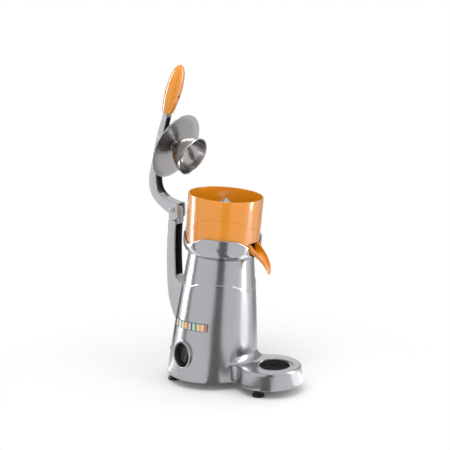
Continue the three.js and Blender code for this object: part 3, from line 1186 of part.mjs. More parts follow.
function makeLeverArm() {
  const cast = solid(tapered(sidePlate(armShape(), COLUMN_WIDTH, ARM_ROUND, 2)));
  const mouth = new THREE.Shape();
  const deep = armPoints(ARM_HOLLOW_SHARES);
  mouth.moveTo(-ARM_SWAY, deep[0].y);
  mouth.lineTo(deep[0].x, deep[0].y);
  mouth.splineThru(deep.slice(1));
  mouth.lineTo(-ARM_SWAY, deep.at(-1).y + ARM_RISE * 0.1);
  const hollow = solid(tapered(sidePlate(mouth, COLUMN_WIDTH - 2 * ARM_WALL, 0, 2)));
  const slotShape = new THREE.Shape();
  const room = TONGUE_RADIUS + CLEARANCE * 2;
  slotShape.moveTo(room, -2 * FORK_DROP);
  slotShape.lineTo(room, 0);
  slotShape.absarc(0, 0, room, 0, Math.PI / 2, false);
  slotShape.lineTo(-2 * FORK_DROP, room);
  slotShape.lineTo(-2 * FORK_DROP, -2 * FORK_DROP);
  const slot = solid(sidePlate(slotShape, COLUMN_WIDTH - 2 * FORK_CHEEK, 0));
  const bore = solid(moved(rod(PIN_RADIUS + CLEARANCE, -COLUMN_WIDTH, COLUMN_WIDTH, SCREW_STEPS + 2), turnY(90)));
  const tang = solid(onGrip(moved(block(TANG_WIDTH, TANG_DEPTH, TANG_LENGTH + 2 * ARM_WEB),
    shift(0, 0, TANG_LENGTH / 2))));
  const screw = solid(onGrip(moved(rod(GRIP_SCREW_RADIUS + CLEARANCE, 0, GRIP_RADIUS, SCREW_STEPS),
    turnX(90), shift(0, 0, GRIP_LENGTH * GRIP_SCREW_SHARE))));
  const boss = solid(onPress(rod(ARM_BOSS_RADIUS, stemSeat, nutSeat - ARM_WEB / 2)));
  const stemHole = solid(onPress(rod(STEM_THREAD_RADIUS + CLEARANCE, DISC_HEIGHT, DISC_HEIGHT + 3 * ARM_SWAY)));
  const nutFlat = solid(onPress(rod(ARM_BOSS_RADIUS, nutSeat, DISC_HEIGHT + 3 * ARM_SWAY)));
  return cast.subtract(hollow).add(boss).add(tang)
    .subtract(slot).subtract(bore).subtract(screw).subtract(stemHole).subtract(nutFlat);
}

// The press pieces are drawn round the spindle axis as it stands when the press is in line with
// the reamer, then swung up with the lever about the hinge
const hingeReach = HINGE_BACK * cosLean + HINGE_HEIGHT * sinLean;
const hingeAlong = HINGE_HEIGHT * cosLean - HINGE_BACK * sinLean;

function onPress(geometry) {
  return moved(geometry, shift(0, -hingeReach, -hingeAlong), turnX(LEAN - PRESS_IN_LINE));
}

const stemSeat = DISC_HEIGHT + 31;
const nutSeat = DISC_HEIGHT + 46;

function makeDisc() {
  const edge = DISC_RADIUS;
  const bore = STEM_THREAD_RADIUS + CLEARANCE;
  const high = DISC_HEIGHT + DISC_SHEET;
  return turned([
    [bore, DISC_HEIGHT], [edge * 0.85, DISC_HEIGHT - DISC_DISH * 0.4],
    [edge - DISC_SHEET / 2, DISC_HEIGHT - DISC_DISH], [edge, DISC_HEIGHT - DISC_DISH / 2],
    [edge * 0.85, high - DISC_DISH * 0.4], [bore, high], [bore, DISC_HEIGHT],
  ]);
}

const CUP_SHARES = [[0, 0.05], [0.26, 0.17], [0.58, 0.37], [0.86, 0.68], [1, 1]];

function makeCup() {
  const start = DISC_HEIGHT - CLEARANCE;
  const neck = CUP_NECK_RADIUS;
  const spread = CUP_RADIUS - neck;
  const outer = CUP_SHARES.map(([r, d]) => [neck + spread * r, start - CUP_LENGTH * d]);
  const inner = CUP_SHARES.slice(1).map(([r, d]) => [neck + spread * r - CUP_WALL * 1.1,
    start - CUP_LENGTH * d - CUP_WALL * (1 - d) * 1.2]);
  inner[inner.length - 1][1] = start - CUP_LENGTH;
  const roof = start - CUP_WALL * 1.6;
  return turned([
    [0, start], [neck, start], ...outer, [CUP_RADIUS - CUP_WALL * 0.5, start - CUP_LENGTH - CUP_WALL * 0.4],
    ...inner.reverse(), [0, roof],
  ], MIDDLE_STEPS);
}

function makeStem() {
  const collar = DISC_HEIGHT + DISC_SHEET + CLEARANCE;
  return turned([
    [0, collar], [STEM_COLLAR_RADIUS, collar], [STEM_COLLAR_RADIUS, collar + STEM_COLLAR * 0.5],
    [STEM_RADIUS + 1.5, collar + STEM_COLLAR], [STEM_RADIUS + 1.5, stemSeat - CLEARANCE],
    [STEM_THREAD_RADIUS, stemSeat - CLEARANCE], [STEM_THREAD_RADIUS, nutSeat + PRESS_NUT_HEIGHT - 1],
    [0, nutSeat + PRESS_NUT_HEIGHT - 1],
  ], SMALL_STEPS);
}

function makePressNut() {
  const seat = nutSeat + CLEARANCE;
  const top = seat + PRESS_NUT_HEIGHT;
  const nut = solid(turned([[0, seat], [PRESS_NUT_RADIUS, seat], [PRESS_NUT_RADIUS, seat + PRESS_NUT_HEIGHT * 0.5],
    [PRESS_NUT_RADIUS * 0.8, seat + PRESS_NUT_HEIGHT * 0.7], [PRESS_NUT_RADIUS * 0.45, top], [0, top + 0.6]], 6));
  const thread = solid(rod(STEM_THREAD_RADIUS + CLEARANCE, seat - OVERRUN, top - 1));
  return nut.subtract(thread);
}

const GRIP_SHARES = [[0.62, 0], [0.75, 0.06], [0.92, 0.24], [1, 0.45], [0.95, 0.65], [0.81, 0.81],
  [0.58, 0.92], [0.28, 0.985]];

function makeGrip() {
  const outline = GRIP_SHARES.map(([r, h]) => [GRIP_RADIUS * r, GRIP_LENGTH * h]);
  const egg = solid(turned([[0, 0], ...outline, [0, GRIP_LENGTH]], INNER_STEPS));
  const gap = 2 * CLEARANCE;
  const socket = solid(moved(block(TANG_WIDTH + gap, TANG_DEPTH + gap, TANG_LENGTH + 2 * ARM_WEB + gap),
    shift(0, 0, TANG_LENGTH / 2)));
  const height = GRIP_LENGTH * GRIP_SCREW_SHARE;
  const face = GRIP_RADIUS * 0.99;
  const shank = solid(moved(rod(GRIP_SCREW_RADIUS + CLEARANCE, 0, 2 * GRIP_RADIUS, SCREW_STEPS), turnX(90),
    shift(0, 0, height)));
  const pocket = solid(moved(rod(GRIP_SCREW_HEAD_RADIUS + CLEARANCE, face - GRIP_SCREW_SUNK - GRIP_SCREW_HEAD,
    2 * GRIP_RADIUS, SMALL_STEPS), turnX(90), shift(0, 0, height)));
  return egg.subtract(socket).subtract(shank).subtract(pocket);
}

function makeGripScrew() {
  const face = GRIP_RADIUS * 0.99 - GRIP_SCREW_SUNK;
  const under = face - GRIP_SCREW_HEAD + CLEARANCE;
  const screw = turned([[0, 0], [GRIP_SCREW_RADIUS, 0.8], [GRIP_SCREW_RADIUS, under], [GRIP_SCREW_HEAD_RADIUS, under],
    [GRIP_SCREW_HEAD_RADIUS, face - 0.8], [GRIP_SCREW_HEAD_RADIUS - 1, face], [0, face]], SCREW_STEPS);
  return moved(screw, turnX(90), shift(0, 0, GRIP_LENGTH * GRIP_SCREW_SHARE));
}

// Assembly
function piece(name, shape, material, parent) {
  const geometry = shape.isBufferGeometry ? shape : geometryOf(shape);
  const mesh = new THREE.Mesh(geometry, material);
  mesh.name = name;
  parent.add(mesh);
  return mesh;
}

const whole = (geometry) => geometryOf(solid(geometry));

const press = new THREE.Group();
const spindle = new THREE.Group();
spindle.rotation.x = rad(LEAN);
const lever = new THREE.Group();
lever.position.set(0, HINGE_BACK, HINGE_HEIGHT);
const hinge = new THREE.Group();
hinge.position.copy(lever.position);
hinge.rotation.y = rad(90);
press.add(spindle, lever, hinge);

// The part's origin lies in the middle of its footprint, from the tray's front to the lever's back
press.position.y = (TRAY_REACH + TRAY_RADIUS - HINGE_BACK - ARM_SWAY) / 2;

piece('housing', makeHousing(), castAluminium, press);
piece('base_plate', makeBasePlate(), zincSteel, press);
const corners = ['front_right', 'front_left', 'rear_right', 'rear_left'];
footPlaces().forEach(([x, y], i) => {
  piece(`foot_${corners[i]}`, whole(makeFoot()), blackRubber, press).position.set(x, y, 0);
  piece(`foot_screw_${corners[i]}`, whole(makeFootScrew()), zincSteel, press).position.set(x, y, 0);
});
piece('tray_mat', makeMat(), blackRubber, press)
  .position.set(0, -MAT_REACH, TRAY_TOP - MAT_SUNK + CLEARANCE);
piece('cord_gland', whole(makeGland()), blackPlastic, press);
piece('capacitor', whole(makeCapacitor()), greyPlastic, press);
piece('capacitor_strap', makeStrap(), zincSteel, press);
piece('terminal_block', makeTerminalBlock(), greyPlastic, press);
piece('trim_strip', whole(makeStrip()), stripEnamel, press);

piece('column', makeColumn(), castAluminium, press);
COLUMN_BOLT_HEIGHTS.forEach((height, i) => {
  piece(`column_bolt_${i + 1}`, whole(makeColumnBolt(height)), zincSteel, press);
});

const flank = new THREE.Group();
flank.rotation.z = rad(-SWITCH_HEADING);
flank.position.z = SWITCH_HEIGHT;
spindle.add(flank);
piece('switch_liner', makeLiner(), blackPlastic, flank);
piece('switch_body', makeSwitchBody(), blackPlastic, flank);
const rockerPivot = switchFace - SWITCH_DEPTH + ROCKER_PROUD - ROCKER_THICKNESS;
const rocker = piece('switch_rocker', whole(makeRocker()), blackPlastic, flank);
rocker.position.set(0, -rockerPivot, 0);
rocker.rotation.x = rad(-ROCKER_TILT);

piece('head_casting', makeHead(), castAluminium, spindle);
piece('bowl', makeBowl(), orangePlastic, spindle);
piece('strainer', makeStrainer(), polishedSteel, spindle);
piece('reamer', makeReamer(), polishedSteel, spindle);
piece('drive_shaft', makeShaft(), zincSteel, spindle);
piece('shaft_seal', whole(tube(SHAFT_RADIUS + CLEARANCE, SEAL_RADIUS, HEAD_HUB_TOP - SEAL_HEIGHT - 1,
  HEAD_HUB_TOP - 1, SMALL_STEPS)), blackRubber, spindle);
boltPlaces().forEach((place, i) => {
  piece(`head_bolt_${i + 1}`, whole(moved(makeHeadBolt(), place)), zincSteel, spindle);
});
piece('motor_shell', whole(tube(MOTOR_RADIUS - MOTOR_SHEET, MOTOR_RADIUS, MOTOR_BOTTOM + MOTOR_SHIELD + CLEARANCE,
  motorTop - MOTOR_SHIELD - CLEARANCE, INNER_STEPS)), zincSteel, spindle);
piece('end_shield_upper', makeUpperShield(), castAluminium, spindle);
piece('end_shield_lower', makeLowerShield(), castAluminium, spindle);
piece('bearing_upper', whole(makeBearing(SHAFT_RADIUS, motorTop - MOTOR_SHIELD)), zincSteel, spindle);
piece('bearing_lower', whole(makeBearing(SHAFT_LOWER_RADIUS, MOTOR_BOTTOM)), zincSteel, spindle);
piece('motor_stator', whole(tube(ROTOR_RADIUS + 2 * CLEARANCE, MOTOR_RADIUS - MOTOR_SHEET - CLEARANCE,
  CORE_BOTTOM, CORE_BOTTOM + CORE_HEIGHT, INNER_STEPS)), zincSteel, spindle);
piece('winding_upper', whole(makeWinding(CORE_BOTTOM + CORE_HEIGHT + CLEARANCE)), copper, spindle);
piece('winding_lower', whole(moved(makeWinding(0), turnX(180), shift(0, 0, CORE_BOTTOM - CLEARANCE))),
  copper, spindle);
piece('motor_rotor', whole(tube(SHAFT_CORE_RADIUS + CLEARANCE, ROTOR_RADIUS, CORE_BOTTOM, CORE_BOTTOM + CORE_HEIGHT,
  SMALL_STEPS)), zincSteel, spindle);
piece('cooling_fan', makeFan(), blackPlastic, spindle);

piece('hinge_bush', whole(tube(PIN_RADIUS + CLEARANCE, PIN_RADIUS + CLEARANCE + BUSH_WALL,
  FORK_CHEEK + CLEARANCE - COLUMN_WIDTH / 2, COLUMN_WIDTH / 2 - FORK_CHEEK - CLEARANCE, SMALL_STEPS)), bronze, hinge);
piece('hinge_pin', makeHingePin(), polishedSteel, hinge);
piece('hinge_nut', whole(makeHingeNut()), polishedSteel, hinge);

piece('lever_arm', makeLeverArm(), castAluminium, lever);
piece('press_stem', whole(onPress(makeStem())), zincSteel, lever);
piece('splash_disc', whole(onPress(makeDisc())), polishedSteel, lever);
piece('press_cup', whole(onPress(makeCup())), polishedSteel, lever);
piece('press_nut', solid(onPress(geometryOf(makePressNut()))), zincSteel, lever);
piece('grip', solid(onGrip(geometryOf(makeGrip()))), orangePlastic, lever);
piece('grip_screw', whole(onGrip(makeGripScrew())), zincSteel, lever);

export default press;
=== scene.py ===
# Lever citrus juice press: finer pieces, finishes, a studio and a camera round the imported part
# Places are worked out in millimetres from where the spindle axis meets the table
import json
import math

import bmesh
import bpy
from mathutils import Matrix, Vector
from mathutils.geometry import delaunay_2d_cdt

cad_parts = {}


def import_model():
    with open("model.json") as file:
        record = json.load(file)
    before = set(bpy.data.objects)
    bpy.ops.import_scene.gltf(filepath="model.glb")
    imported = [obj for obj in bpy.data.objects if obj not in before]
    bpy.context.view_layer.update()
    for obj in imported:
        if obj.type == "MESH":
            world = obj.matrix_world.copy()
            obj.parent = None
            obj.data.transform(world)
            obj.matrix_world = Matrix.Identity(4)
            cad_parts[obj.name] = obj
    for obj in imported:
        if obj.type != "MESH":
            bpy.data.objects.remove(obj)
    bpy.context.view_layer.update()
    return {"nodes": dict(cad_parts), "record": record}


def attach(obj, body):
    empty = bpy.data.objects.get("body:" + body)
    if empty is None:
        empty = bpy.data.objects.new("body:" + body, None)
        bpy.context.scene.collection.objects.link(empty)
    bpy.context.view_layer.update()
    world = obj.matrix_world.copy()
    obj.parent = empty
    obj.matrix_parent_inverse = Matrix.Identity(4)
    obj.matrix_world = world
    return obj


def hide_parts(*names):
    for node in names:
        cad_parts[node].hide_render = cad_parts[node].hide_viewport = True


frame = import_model()

layout = {
    "leanDegrees": 6.2,  # the body leans towards the glass
    "inLineDegrees": 71.9,  # how far the lever would swing to meet the reamer
    "spindleBack": 32.75,  # from the part's origin back to the spindle's foot
    "hingeBack": 88.0,
    "hingeHeight": 366.0,
}
millimetre = 0.001
lean = math.radians(layout["leanDegrees"])
sinLean, cosLean = math.sin(lean), math.cos(lean)


# Places

def shifted(x, y, z):
    return Matrix.Translation((x, y, z))


def turned(degrees, axis):
    return Matrix.Rotation(math.radians(degrees), 4, axis)


onTable = Matrix.Scale(millimetre, 4) @ shifted(0, layout["spindleBack"], 0)
onSpindle = onTable @ turned(layout["leanDegrees"], "X")
onHinge = onTable @ shifted(0, layout["hingeBack"], layout["hingeHeight"])
hingeReach = layout["hingeBack"] * cosLean + layout["hingeHeight"] * sinLean
hingeAlong = layout["hingeHeight"] * cosLean - layout["hingeBack"] * sinLean
swungUp = turned(layout["leanDegrees"] - layout["inLineDegrees"], "X")
onPress = onHinge @ swungUp @ shifted(0, -hingeReach, -hingeAlong)


# Sums on numbers

def mix(low, high, share):
    return low + (high - low) * share


def ease(value, low, high):
    share = min(max((value - low) / (high - low), 0.0), 1.0)
    return share * share * (3 - 2 * share)


def spread(low, high, steps):
    return [mix(low, high, i / steps) for i in range(steps + 1)]


def along(points, steps):
    # a smooth line through points of any dimension
    line = []
    last = len(points) - 1
    for i in range(last):
        before, start, end, after = (points[max(min(k, last), 0)] for k in (i - 1, i, i + 1, i + 2))
        for k in range(steps):
            t = k / steps
            line.append(tuple(
                0.5 * (2 * b + (c - a) * t + (2 * a - 5 * b + 4 * c - d) * t * t
                       + (3 * b - a - 3 * c + d) * t ** 3)
                for a, b, c, d in zip(before, start, end, after)))
    line.append(tuple(points[-1]))
    return line


def bend(start, control, end, steps):
    line = []
    for t in spread(0, 1, steps):
        line.append(tuple(mix(mix(a, b, t), mix(b, c, t), t) for a, b, c in zip(start, control, end)))
    return line


def softened(corners, steps=4):
    # corners are (radius, height, wave, rounding); a rounding of 0 keeps the corner
    corners = [tuple(c) + (0.0,) * (4 - len(c)) for c in corners]
    line = []
    for i, corner in enumerate(corners):
        rounding = corner[3]
        if rounding == 0 or i in (0, len(corners) - 1):
            line.append(corner[:3])
            continue
        ends = []
        for other in (corners[i - 1], corners[i + 1]):
            distance = math.hypot(other[0] - corner[0], other[1] - corner[1])
            share = min(rounding / distance, 0.49)  # so that two roundings fit on one edge
            ends.append(tuple(mix(a, b, share) for a, b in zip(corner[:3], other[:3])))
        line.extend(bend(ends[0], corner[:3], ends[1], steps))
    return line


# Shapes are (points, faces)

def gathered(*shapes):
    points, faces = [], []
    for somePoints, someFaces in shapes:
        first = len(points)
        points.extend(somePoints)
        faces.extend([tuple(first + i for i in face) for face in someFaces])
    return points, faces


def gridOf(lines, closedAcross=False, closedAlong=False, skip=None):
    # lines of equally many points, joined by quads
    count, width = len(lines), len(lines[0])
    points = [p for line in lines for p in line]
    faces = []
    for i in range(count if closedAlong else count - 1):
        for k in range(width if closedAcross else width - 1):
            if skip and skip(i, k):
                continue
            a, b = i * width, ((i + 1) % count) * width
            n = (k + 1) % width
            faces.append((a + k, b + k, b + n, a + n))
    return points, faces


def capped(lines):
    # closed outlines stacked into a solid, its two ends filled
    points, faces = gridOf(lines, closedAcross=True)
    width, last = len(lines[0]), (len(lines) - 1) * len(lines[0])
    faces.append(tuple(reversed(range(width))))
    faces.append(tuple(range(last, last + width)))
    return points, faces


headWave = {"lobes": 3, "height": 10.5, "second": 3.0}  # low at the spout


def lobeWave(heading):
    turns = headWave["lobes"] * heading
    return -headWave["height"] * math.cos(turns) - headWave["second"] * math.cos(2 * turns)


def revolved(profile, steps, headings=None, reshape=None, skip=None):
    lines = []
    for heading in headings or [2 * math.pi * i / steps for i in range(steps)]:
        line = []
        for radius, height, *weight in profile:
            if weight:
                height += weight[0] * lobeWave(heading)
            if reshape:
                radius, height = reshape(radius, height, heading)
            line.append((radius * math.sin(heading), -radius * math.cos(heading), height))
        lines.append(line)
    return gridOf(lines, closedAlong=True, skip=skip)


def ellipse(halfWidth, halfHeight, steps):
    return [(halfWidth * math.cos(a), halfHeight * math.sin(a)) for a in spread(0, 2 * math.pi, steps)[:-1]]


def laid(shape, place):
    points, faces = shape
    return [tuple(place @ Vector(p)) for p in points], faces


# Objects

def linked(name, data):
    made = bpy.data.objects.new(name, data)
    bpy.context.scene.collection.objects.link(made)
    return made


def madeObject(name, shape, place, sharp=32):
    points, faces = laid(shape, place)
    mesh = bpy.data.meshes.new(name)
    mesh.from_pydata(points, [], faces)
    cleaned(mesh, sharp)
    return linked(name, mesh)


def cleaned(mesh, sharp, nearest=2e-6):
    work = bmesh.new()
    work.from_mesh(mesh)
    bmesh.ops.remove_doubles(work, verts=work.verts, dist=nearest)
    bmesh.ops.dissolve_degenerate(work, edges=work.edges, dist=nearest)
    bmesh.ops.recalc_face_normals(work, faces=work.faces)
    work.to_mesh(mesh)
    work.free()
    mesh.shade_smooth()
    mesh.set_sharp_from_angle(angle=math.radians(sharp))


def settled(made, sharp=32):
    # the modifiers' result becomes the object's own mesh
    bpy.context.view_layer.update()
    evaluated = made.evaluated_get(bpy.context.evaluated_depsgraph_get())
    mesh = bpy.data.meshes.new_from_object(evaluated)
    made.modifiers.clear()
    made.data = mesh
    cleaned(mesh, sharp)
    return made


def carved(made, tools, place, operation="DIFFERENCE", sharp=32, folded=False):
    # a folded piece is one whose own faces cross somewhere
    cutters = [madeObject(f"cutter{i}", tool, place) for i, tool in enumerate(tools)]
    for cutter in cutters:
        step = made.modifiers.new("carve", "BOOLEAN")
        step.operation, step.solver, step.object, step.use_self = operation, "EXACT", cutter, folded
    settled(made, sharp)
    for cutter in cutters:
        bpy.data.objects.remove(cutter)
    return made


def eased(made, width, segments=2, limit=40, sharp=32):
    step = made.modifiers.new("ease", "BEVEL")
    step.width, step.segments = width * millimetre, segments
    step.limit_method, step.angle_limit = "ANGLE", math.radians(limit)
    step.use_clamp_overlap = True
    return settled(made, sharp)


def dressed(made, finish, body, replaced):
    made.data.materials.clear()
    made.data.materials.append(finish)
    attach(made, body)
    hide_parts(*replaced)


# Node trees: a wire is a socket that can stand in a sum

class Wire:
    def __init__(self, sheet, socket):
        self.sheet, self.socket = sheet, socket

    def maths(self, operation, first, second):
        return self.sheet.node("ShaderNodeMath", {"operation": operation}, {0: first, 1: second})

    def only(self, operation):
        return self.sheet.node("ShaderNodeMath", {"operation": operation}, {0: self})

    def __add__(self, other):
        return self.maths("ADD", self, other)

    def __radd__(self, other):
        return self.maths("ADD", other, self)

    def __sub__(self, other):
        return self.maths("SUBTRACT", self, other)

    def __rsub__(self, other):
        return self.maths("SUBTRACT", other, self)

    def __mul__(self, other):
        return self.maths("MULTIPLY", self, other)

    def __rmul__(self, other):
        return self.maths("MULTIPLY", other, self)

    def __truediv__(self, other):
        return self.maths("DIVIDE", self, other)

    def __pow__(self, other):
        return self.maths("POWER", self, other)

    def __gt__(self, other):
        return self.maths("GREATER_THAN", self, other)

    def __lt__(self, other):
        return self.maths("LESS_THAN", self, other)


class Sheet:
    def __init__(self, tree):
        self.tree = tree
        tree.nodes.clear()

    def node(self, kind, settings=None, inputs=None, output=0):
        made = self.tree.nodes.new(kind)
        for key, value in (settings or {}).items():
            if key == "flat":
                made.color_ramp.interpolation = "CONSTANT"
            elif key == "stops":
                ramp = made.color_ramp
                while len(ramp.elements) < len(value):
                    ramp.elements.new(0.5)
                for element, (position, colour) in zip(ramp.elements, value):
                    element.position, element.color = position, (*colour, 1)
            elif key == "curve":
                line = made.mapping.curves[0]
                while len(line.points) < len(value):
                    line.points.new(0.5, 0.5)
                for point, place in zip(line.points, value):
                    point.location = place
                made.mapping.update()
            else:
                setattr(made, key, value)
        for key, value in (inputs or {}).items():
            socket = made.inputs[key]
            if isinstance(value, Wire):
                self.tree.links.new(value.socket, socket)
            else:
                socket.default_value = value
        return Wire(self, made.outputs[output]) if made.outputs else made


# Finishes


class Finish(Sheet):
    def __init__(self, name):
        self.material = bpy.data.materials.new(name)
        self.material.use_nodes = True
        super().__init__(self.material.node_tree)
        self.object = self.node("ShaderNodeTexCoord", output="Object")

    def noise(self, scale, detail=2.0, roughness=0.5, stretch=(1, 1, 1)):
        vector = self.node("ShaderNodeVectorMath", {"operation": "MULTIPLY"}, {0: self.object, 1: stretch})
        return self.node("ShaderNodeTexNoise", {}, {
            "Vector": vector, "Scale": scale, "Detail": detail, "Roughness": roughness})

    def turnedLines(self, scale):
        # lines round the spindle's axis, as a lathe leaves them
        axis = (0, -sinLean, cosLean)
        height = self.node("ShaderNodeVectorMath", {"operation": "DOT_PRODUCT"}, {
            0: self.object, 1: axis}, "Value")
        return self.node("ShaderNodeTexNoise", {"noise_dimensions": "1D"}, {
            "W": height, "Scale": scale, "Detail": 3.0, "Roughness": 0.7})

    def blend(self, share, first, second):
        first, second = (c if isinstance(c, Wire) else (*c, 1) for c in (first, second))
        return self.node("ShaderNodeMix", {"data_type": "RGBA"}, {0: share, 6: first, 7: second}, 2)

    def bump(self, height, distance, strength):
        return self.node("ShaderNodeBump", {}, {"Height": height, "Distance": distance, "Strength": strength})

    def millimetres(self, axis):
        return self.node("ShaderNodeSeparateXYZ", {}, {0: self.object}, axis) * 1000.0

    def surface(self, sockets):
        shader = self.node("ShaderNodeBsdfPrincipled", {}, sockets)
        self.node("ShaderNodeOutputMaterial", {}, {"Surface": shader})
        return self.material


metal = {
    "dentTint": (0.92, 0.935, 0.97), "crestTint": (1, 1.015, 1.05),  # bluer where it is brighter
    "streakScale": 900, "streakStretch": (1, 1, 0.12), "cloudScale": 14, "depth": 0.00003, "relief": 0.5,
    "lineRoughness": 0.08, "cloudRoughness": 0.05, "steelCloudScale": 35, "steelDentShare": 0.96,
}
polymer = {
    "cloudScale": 22, "dentShare": 0.94, "crestShare": 1.04, "cloudRoughness": 0.05, "coatRoughness": 0.03,
    "relief": 0.6,
}


def aluminium(name, roughness, shade, lineScale=0, lineShare=0.9, grain=1200, paintedShadeMask=None):
    # without a lineScale, streaks take the place of a lathe's lines
    # the mask given here tells which share of a place gets painted shade: the inside of a channel is painted
    # near-black, where shade falls
    finish = Finish(name)
    if lineScale:
        rings = finish.turnedLines(lineScale)
    else:
        rings = finish.noise(metal["streakScale"], 3, 0.6, metal["streakStretch"])
    cloud = finish.noise(metal["cloudScale"], 2)
    speckle = finish.noise(grain, 3, 0.6)
    dent, crest = ([shade * c for c in metal[key]] for key in ("dentTint", "crestTint"))
    colour = finish.blend(rings, dent, crest)
    # the painted shade darkens the channels' insides to near-black and takes their metal away
    inside = paintedShadeMask(finish) if paintedShadeMask else 0.0
    if paintedShadeMask:
        colour = finish.blend(inside, colour, channelShadePaint["tone"])
    height = rings * lineShare + speckle * (1 - lineShare)
    return finish.surface({
        "Base Color": colour,
        "Metallic": 1.0 - inside,
        "Roughness": roughness + rings * metal["lineRoughness"] + cloud * metal["cloudRoughness"],
        "Normal": finish.bump(height, metal["depth"], metal["relief"]),
    })


def steel(name, colour, roughness, cloudShare, grain=0.0):
    finish = Finish(name)
    cloud = finish.noise(metal["steelCloudScale"], 3)
    dent = [c * metal["steelDentShare"] for c in colour]
    sockets = {"Base Color": finish.blend(cloud, dent, colour), "Metallic": 1.0,
               "Roughness": roughness + cloud * cloudShare}
    if grain:
        sockets["Normal"] = finish.bump(finish.noise(grain, 2), metal["depth"], metal["relief"])
    return finish.surface(sockets)


def plastic(name, colour, roughness, grain, depth=0.00003, coat=0.0, shine=0.5):
    finish = Finish(name)
    cloud = finish.noise(polymer["cloudScale"], 2)
    dent, crest = ([min(c * polymer[key], 1) for c in colour] for key in ("dentShare", "crestShare"))
    return finish.surface({
        "Base Color": finish.blend(cloud, dent, crest),
        "Roughness": roughness + cloud * polymer["cloudRoughness"],
        "Specular IOR Level": shine,
        "Coat Weight": coat,
        "Coat Roughness": polymer["coatRoughness"],
        "Normal": finish.bump(finish.noise(grain, 3), depth, polymer["relief"]),
    })


paleEnamel = (0.62, 0.60, 0.50)
trimStrip = {
    "height": 137.0, "breadth": 17.0, "thickness": 1.0, "edge": 0.35, "gap": 0.3, "from": 67.0, "to": 129.0,
    "front": -19.0, "rear": 74.0, "panels": 18, "frame": 0.84, "endBlock": 0.05, "teal": (0.02, 0.10, 0.13),
    "columns": 48, "roughness": 0.22, "cloudRoughness": 0.05, "grain": 400, "coat": 0.5,
    "coatRoughness": 0.05,
    "tones": [paleEnamel, (0.70, 0.09, 0.03), paleEnamel, (0.80, 0.33, 0.04),
              paleEnamel, (0.10, 0.26, 0.10), paleEnamel, (0.02, 0.14, 0.20)],
}


def enamel():
    # equal plain panels in a dark frame
    finish = Finish("stripEnamel")
    up = (finish.millimetres("Z") - trimStrip["height"]).only("ABSOLUTE") / (trimStrip["breadth"] / 2)
    share = (finish.millimetres("Y") - trimStrip["front"]) / (trimStrip["rear"] - trimStrip["front"])
    count = len(trimStrip["tones"])
    cell = (share * (trimStrip["panels"] / count)).only("FRACT")
    stops = [(i / count, tone) for i, tone in enumerate(trimStrip["tones"])]
    panels = finish.node("ShaderNodeValToRGB", {"stops": stops, "flat": True}, {0: cell})
    inFrame = (up > trimStrip["frame"]) + (share < trimStrip["endBlock"])
    cloud = finish.noise(trimStrip["grain"], 2)
    return finish.surface({
        "Base Color": finish.blend(inFrame, panels, trimStrip["teal"]),
        "Roughness": trimStrip["roughness"] + cloud * trimStrip["cloudRoughness"],
        "Coat Weight": trimStrip["coat"],
        "Coat Roughness": trimStrip["coatRoughness"],
    })


# painted shade for the insides of the channels: its near-black tone, and where it is painted
channelShadePaint = {
    "tone": (0.022, 0.021, 0.022), "facing": 0.3, "column": (221.0, 334.4), "lever": (399.0, 566.0),
    "widthFrom": (384.0, 11.8), "widthTo": (556.0, 7.3),  # height, and half the channel's width there
}


def paintedShadeInChannels(finish):
    # painted shade: the inner faces of the column's and the lever's channels, which look towards the bowl,
    # are masked so that they are painted near-black where shade falls
    (low, wide), (high, narrow) = channelShadePaint["widthFrom"], channelShadePaint["widthTo"]
    across = finish.millimetres("X").only("ABSOLUTE")
    height = finish.millimetres("Z")
    normal = finish.node("ShaderNodeTexCoord", output="Normal")
    facing = finish.node("ShaderNodeSeparateXYZ", {}, {0: normal}, "Y") < channelShadePaint["facing"]
    room = finish.node("ShaderNodeMapRange", {"interpolation_type": "SMOOTHSTEP"}, {
        "Value": height, "From Min": low, "From Max": high, "To Min": wide, "To Max": narrow})
    inColumn, inLever = ((height > bottom) * (height < top) for bottom, top in (
        channelShadePaint["column"], channelShadePaint["lever"]))
    return facing * (across < room) * (inColumn + inLever)


aluminiums = {
    "turnedAluminium": {"roughness": 0.15, "shade": 0.43, "lineScale": 1500.0},
    "polishedAluminium": {"roughness": 0.10, "shade": 0.45, "lineScale": 1900.0},
    "castAluminium": {"roughness": 0.30, "shade": 0.48, "lineShare": 0.4, "grain": 1100, "paintedShadeMask": paintedShadeInChannels},
}
steels = {
    "mirrorSteel": {"colour": (0.47, 0.475, 0.48), "roughness": 0.11, "cloudShare": 0.05},
    "brushedSteel": {"colour": (0.44, 0.43, 0.425), "roughness": 0.17, "cloudShare": 0.08},
    "plainSteel": {"colour": (0.46, 0.47, 0.48), "roughness": 0.26, "cloudShare": 0.12, "grain": 700},
    "bronze": {"colour": (0.50, 0.31, 0.12), "roughness": 0.34, "cloudShare": 0.1, "grain": 900},
    "copper": {"colour": (0.62, 0.24, 0.09), "roughness": 0.3, "cloudShare": 0.1, "grain": 500},
}
plastics = {
    "orangeGloss": {"colour": (0.79, 0.27, 0.005), "roughness": 0.24, "coat": 1.0, "grain": 60,
                    "depth": 0.00002},
    "moulding": {"colour": (0.018, 0.018, 0.02), "roughness": 0.34, "grain": 1600},
    "blackGloss": {"colour": (0.012, 0.012, 0.014), "roughness": 0.12, "coat": 0.4, "grain": 60,
                   "depth": 0.00002},
    "rubber": {"colour": (0.010, 0.010, 0.011), "roughness": 0.38, "grain": 2200, "shine": 0.25},
    "mattRubber": {"colour": (0.008, 0.008, 0.009), "roughness": 0.6, "grain": 2200, "shine": 0.04},
    "greyPlastic": {"colour": (0.55, 0.56, 0.53), "roughness": 0.42, "grain": 900},
}
turnedAluminium, polishedAluminium, castAluminium = (aluminium(k, **v) for k, v in aluminiums.items())
mirrorSteel, brushedSteel, plainSteel, bronze, copper = (steel(k, **v) for k, v in steels.items())
orangeGloss, moulding, blackGloss, rubber, mattRubber, greyPlastic = (
    plastic(k, **v) for k, v in plastics.items())
stripEnamel = enamel()
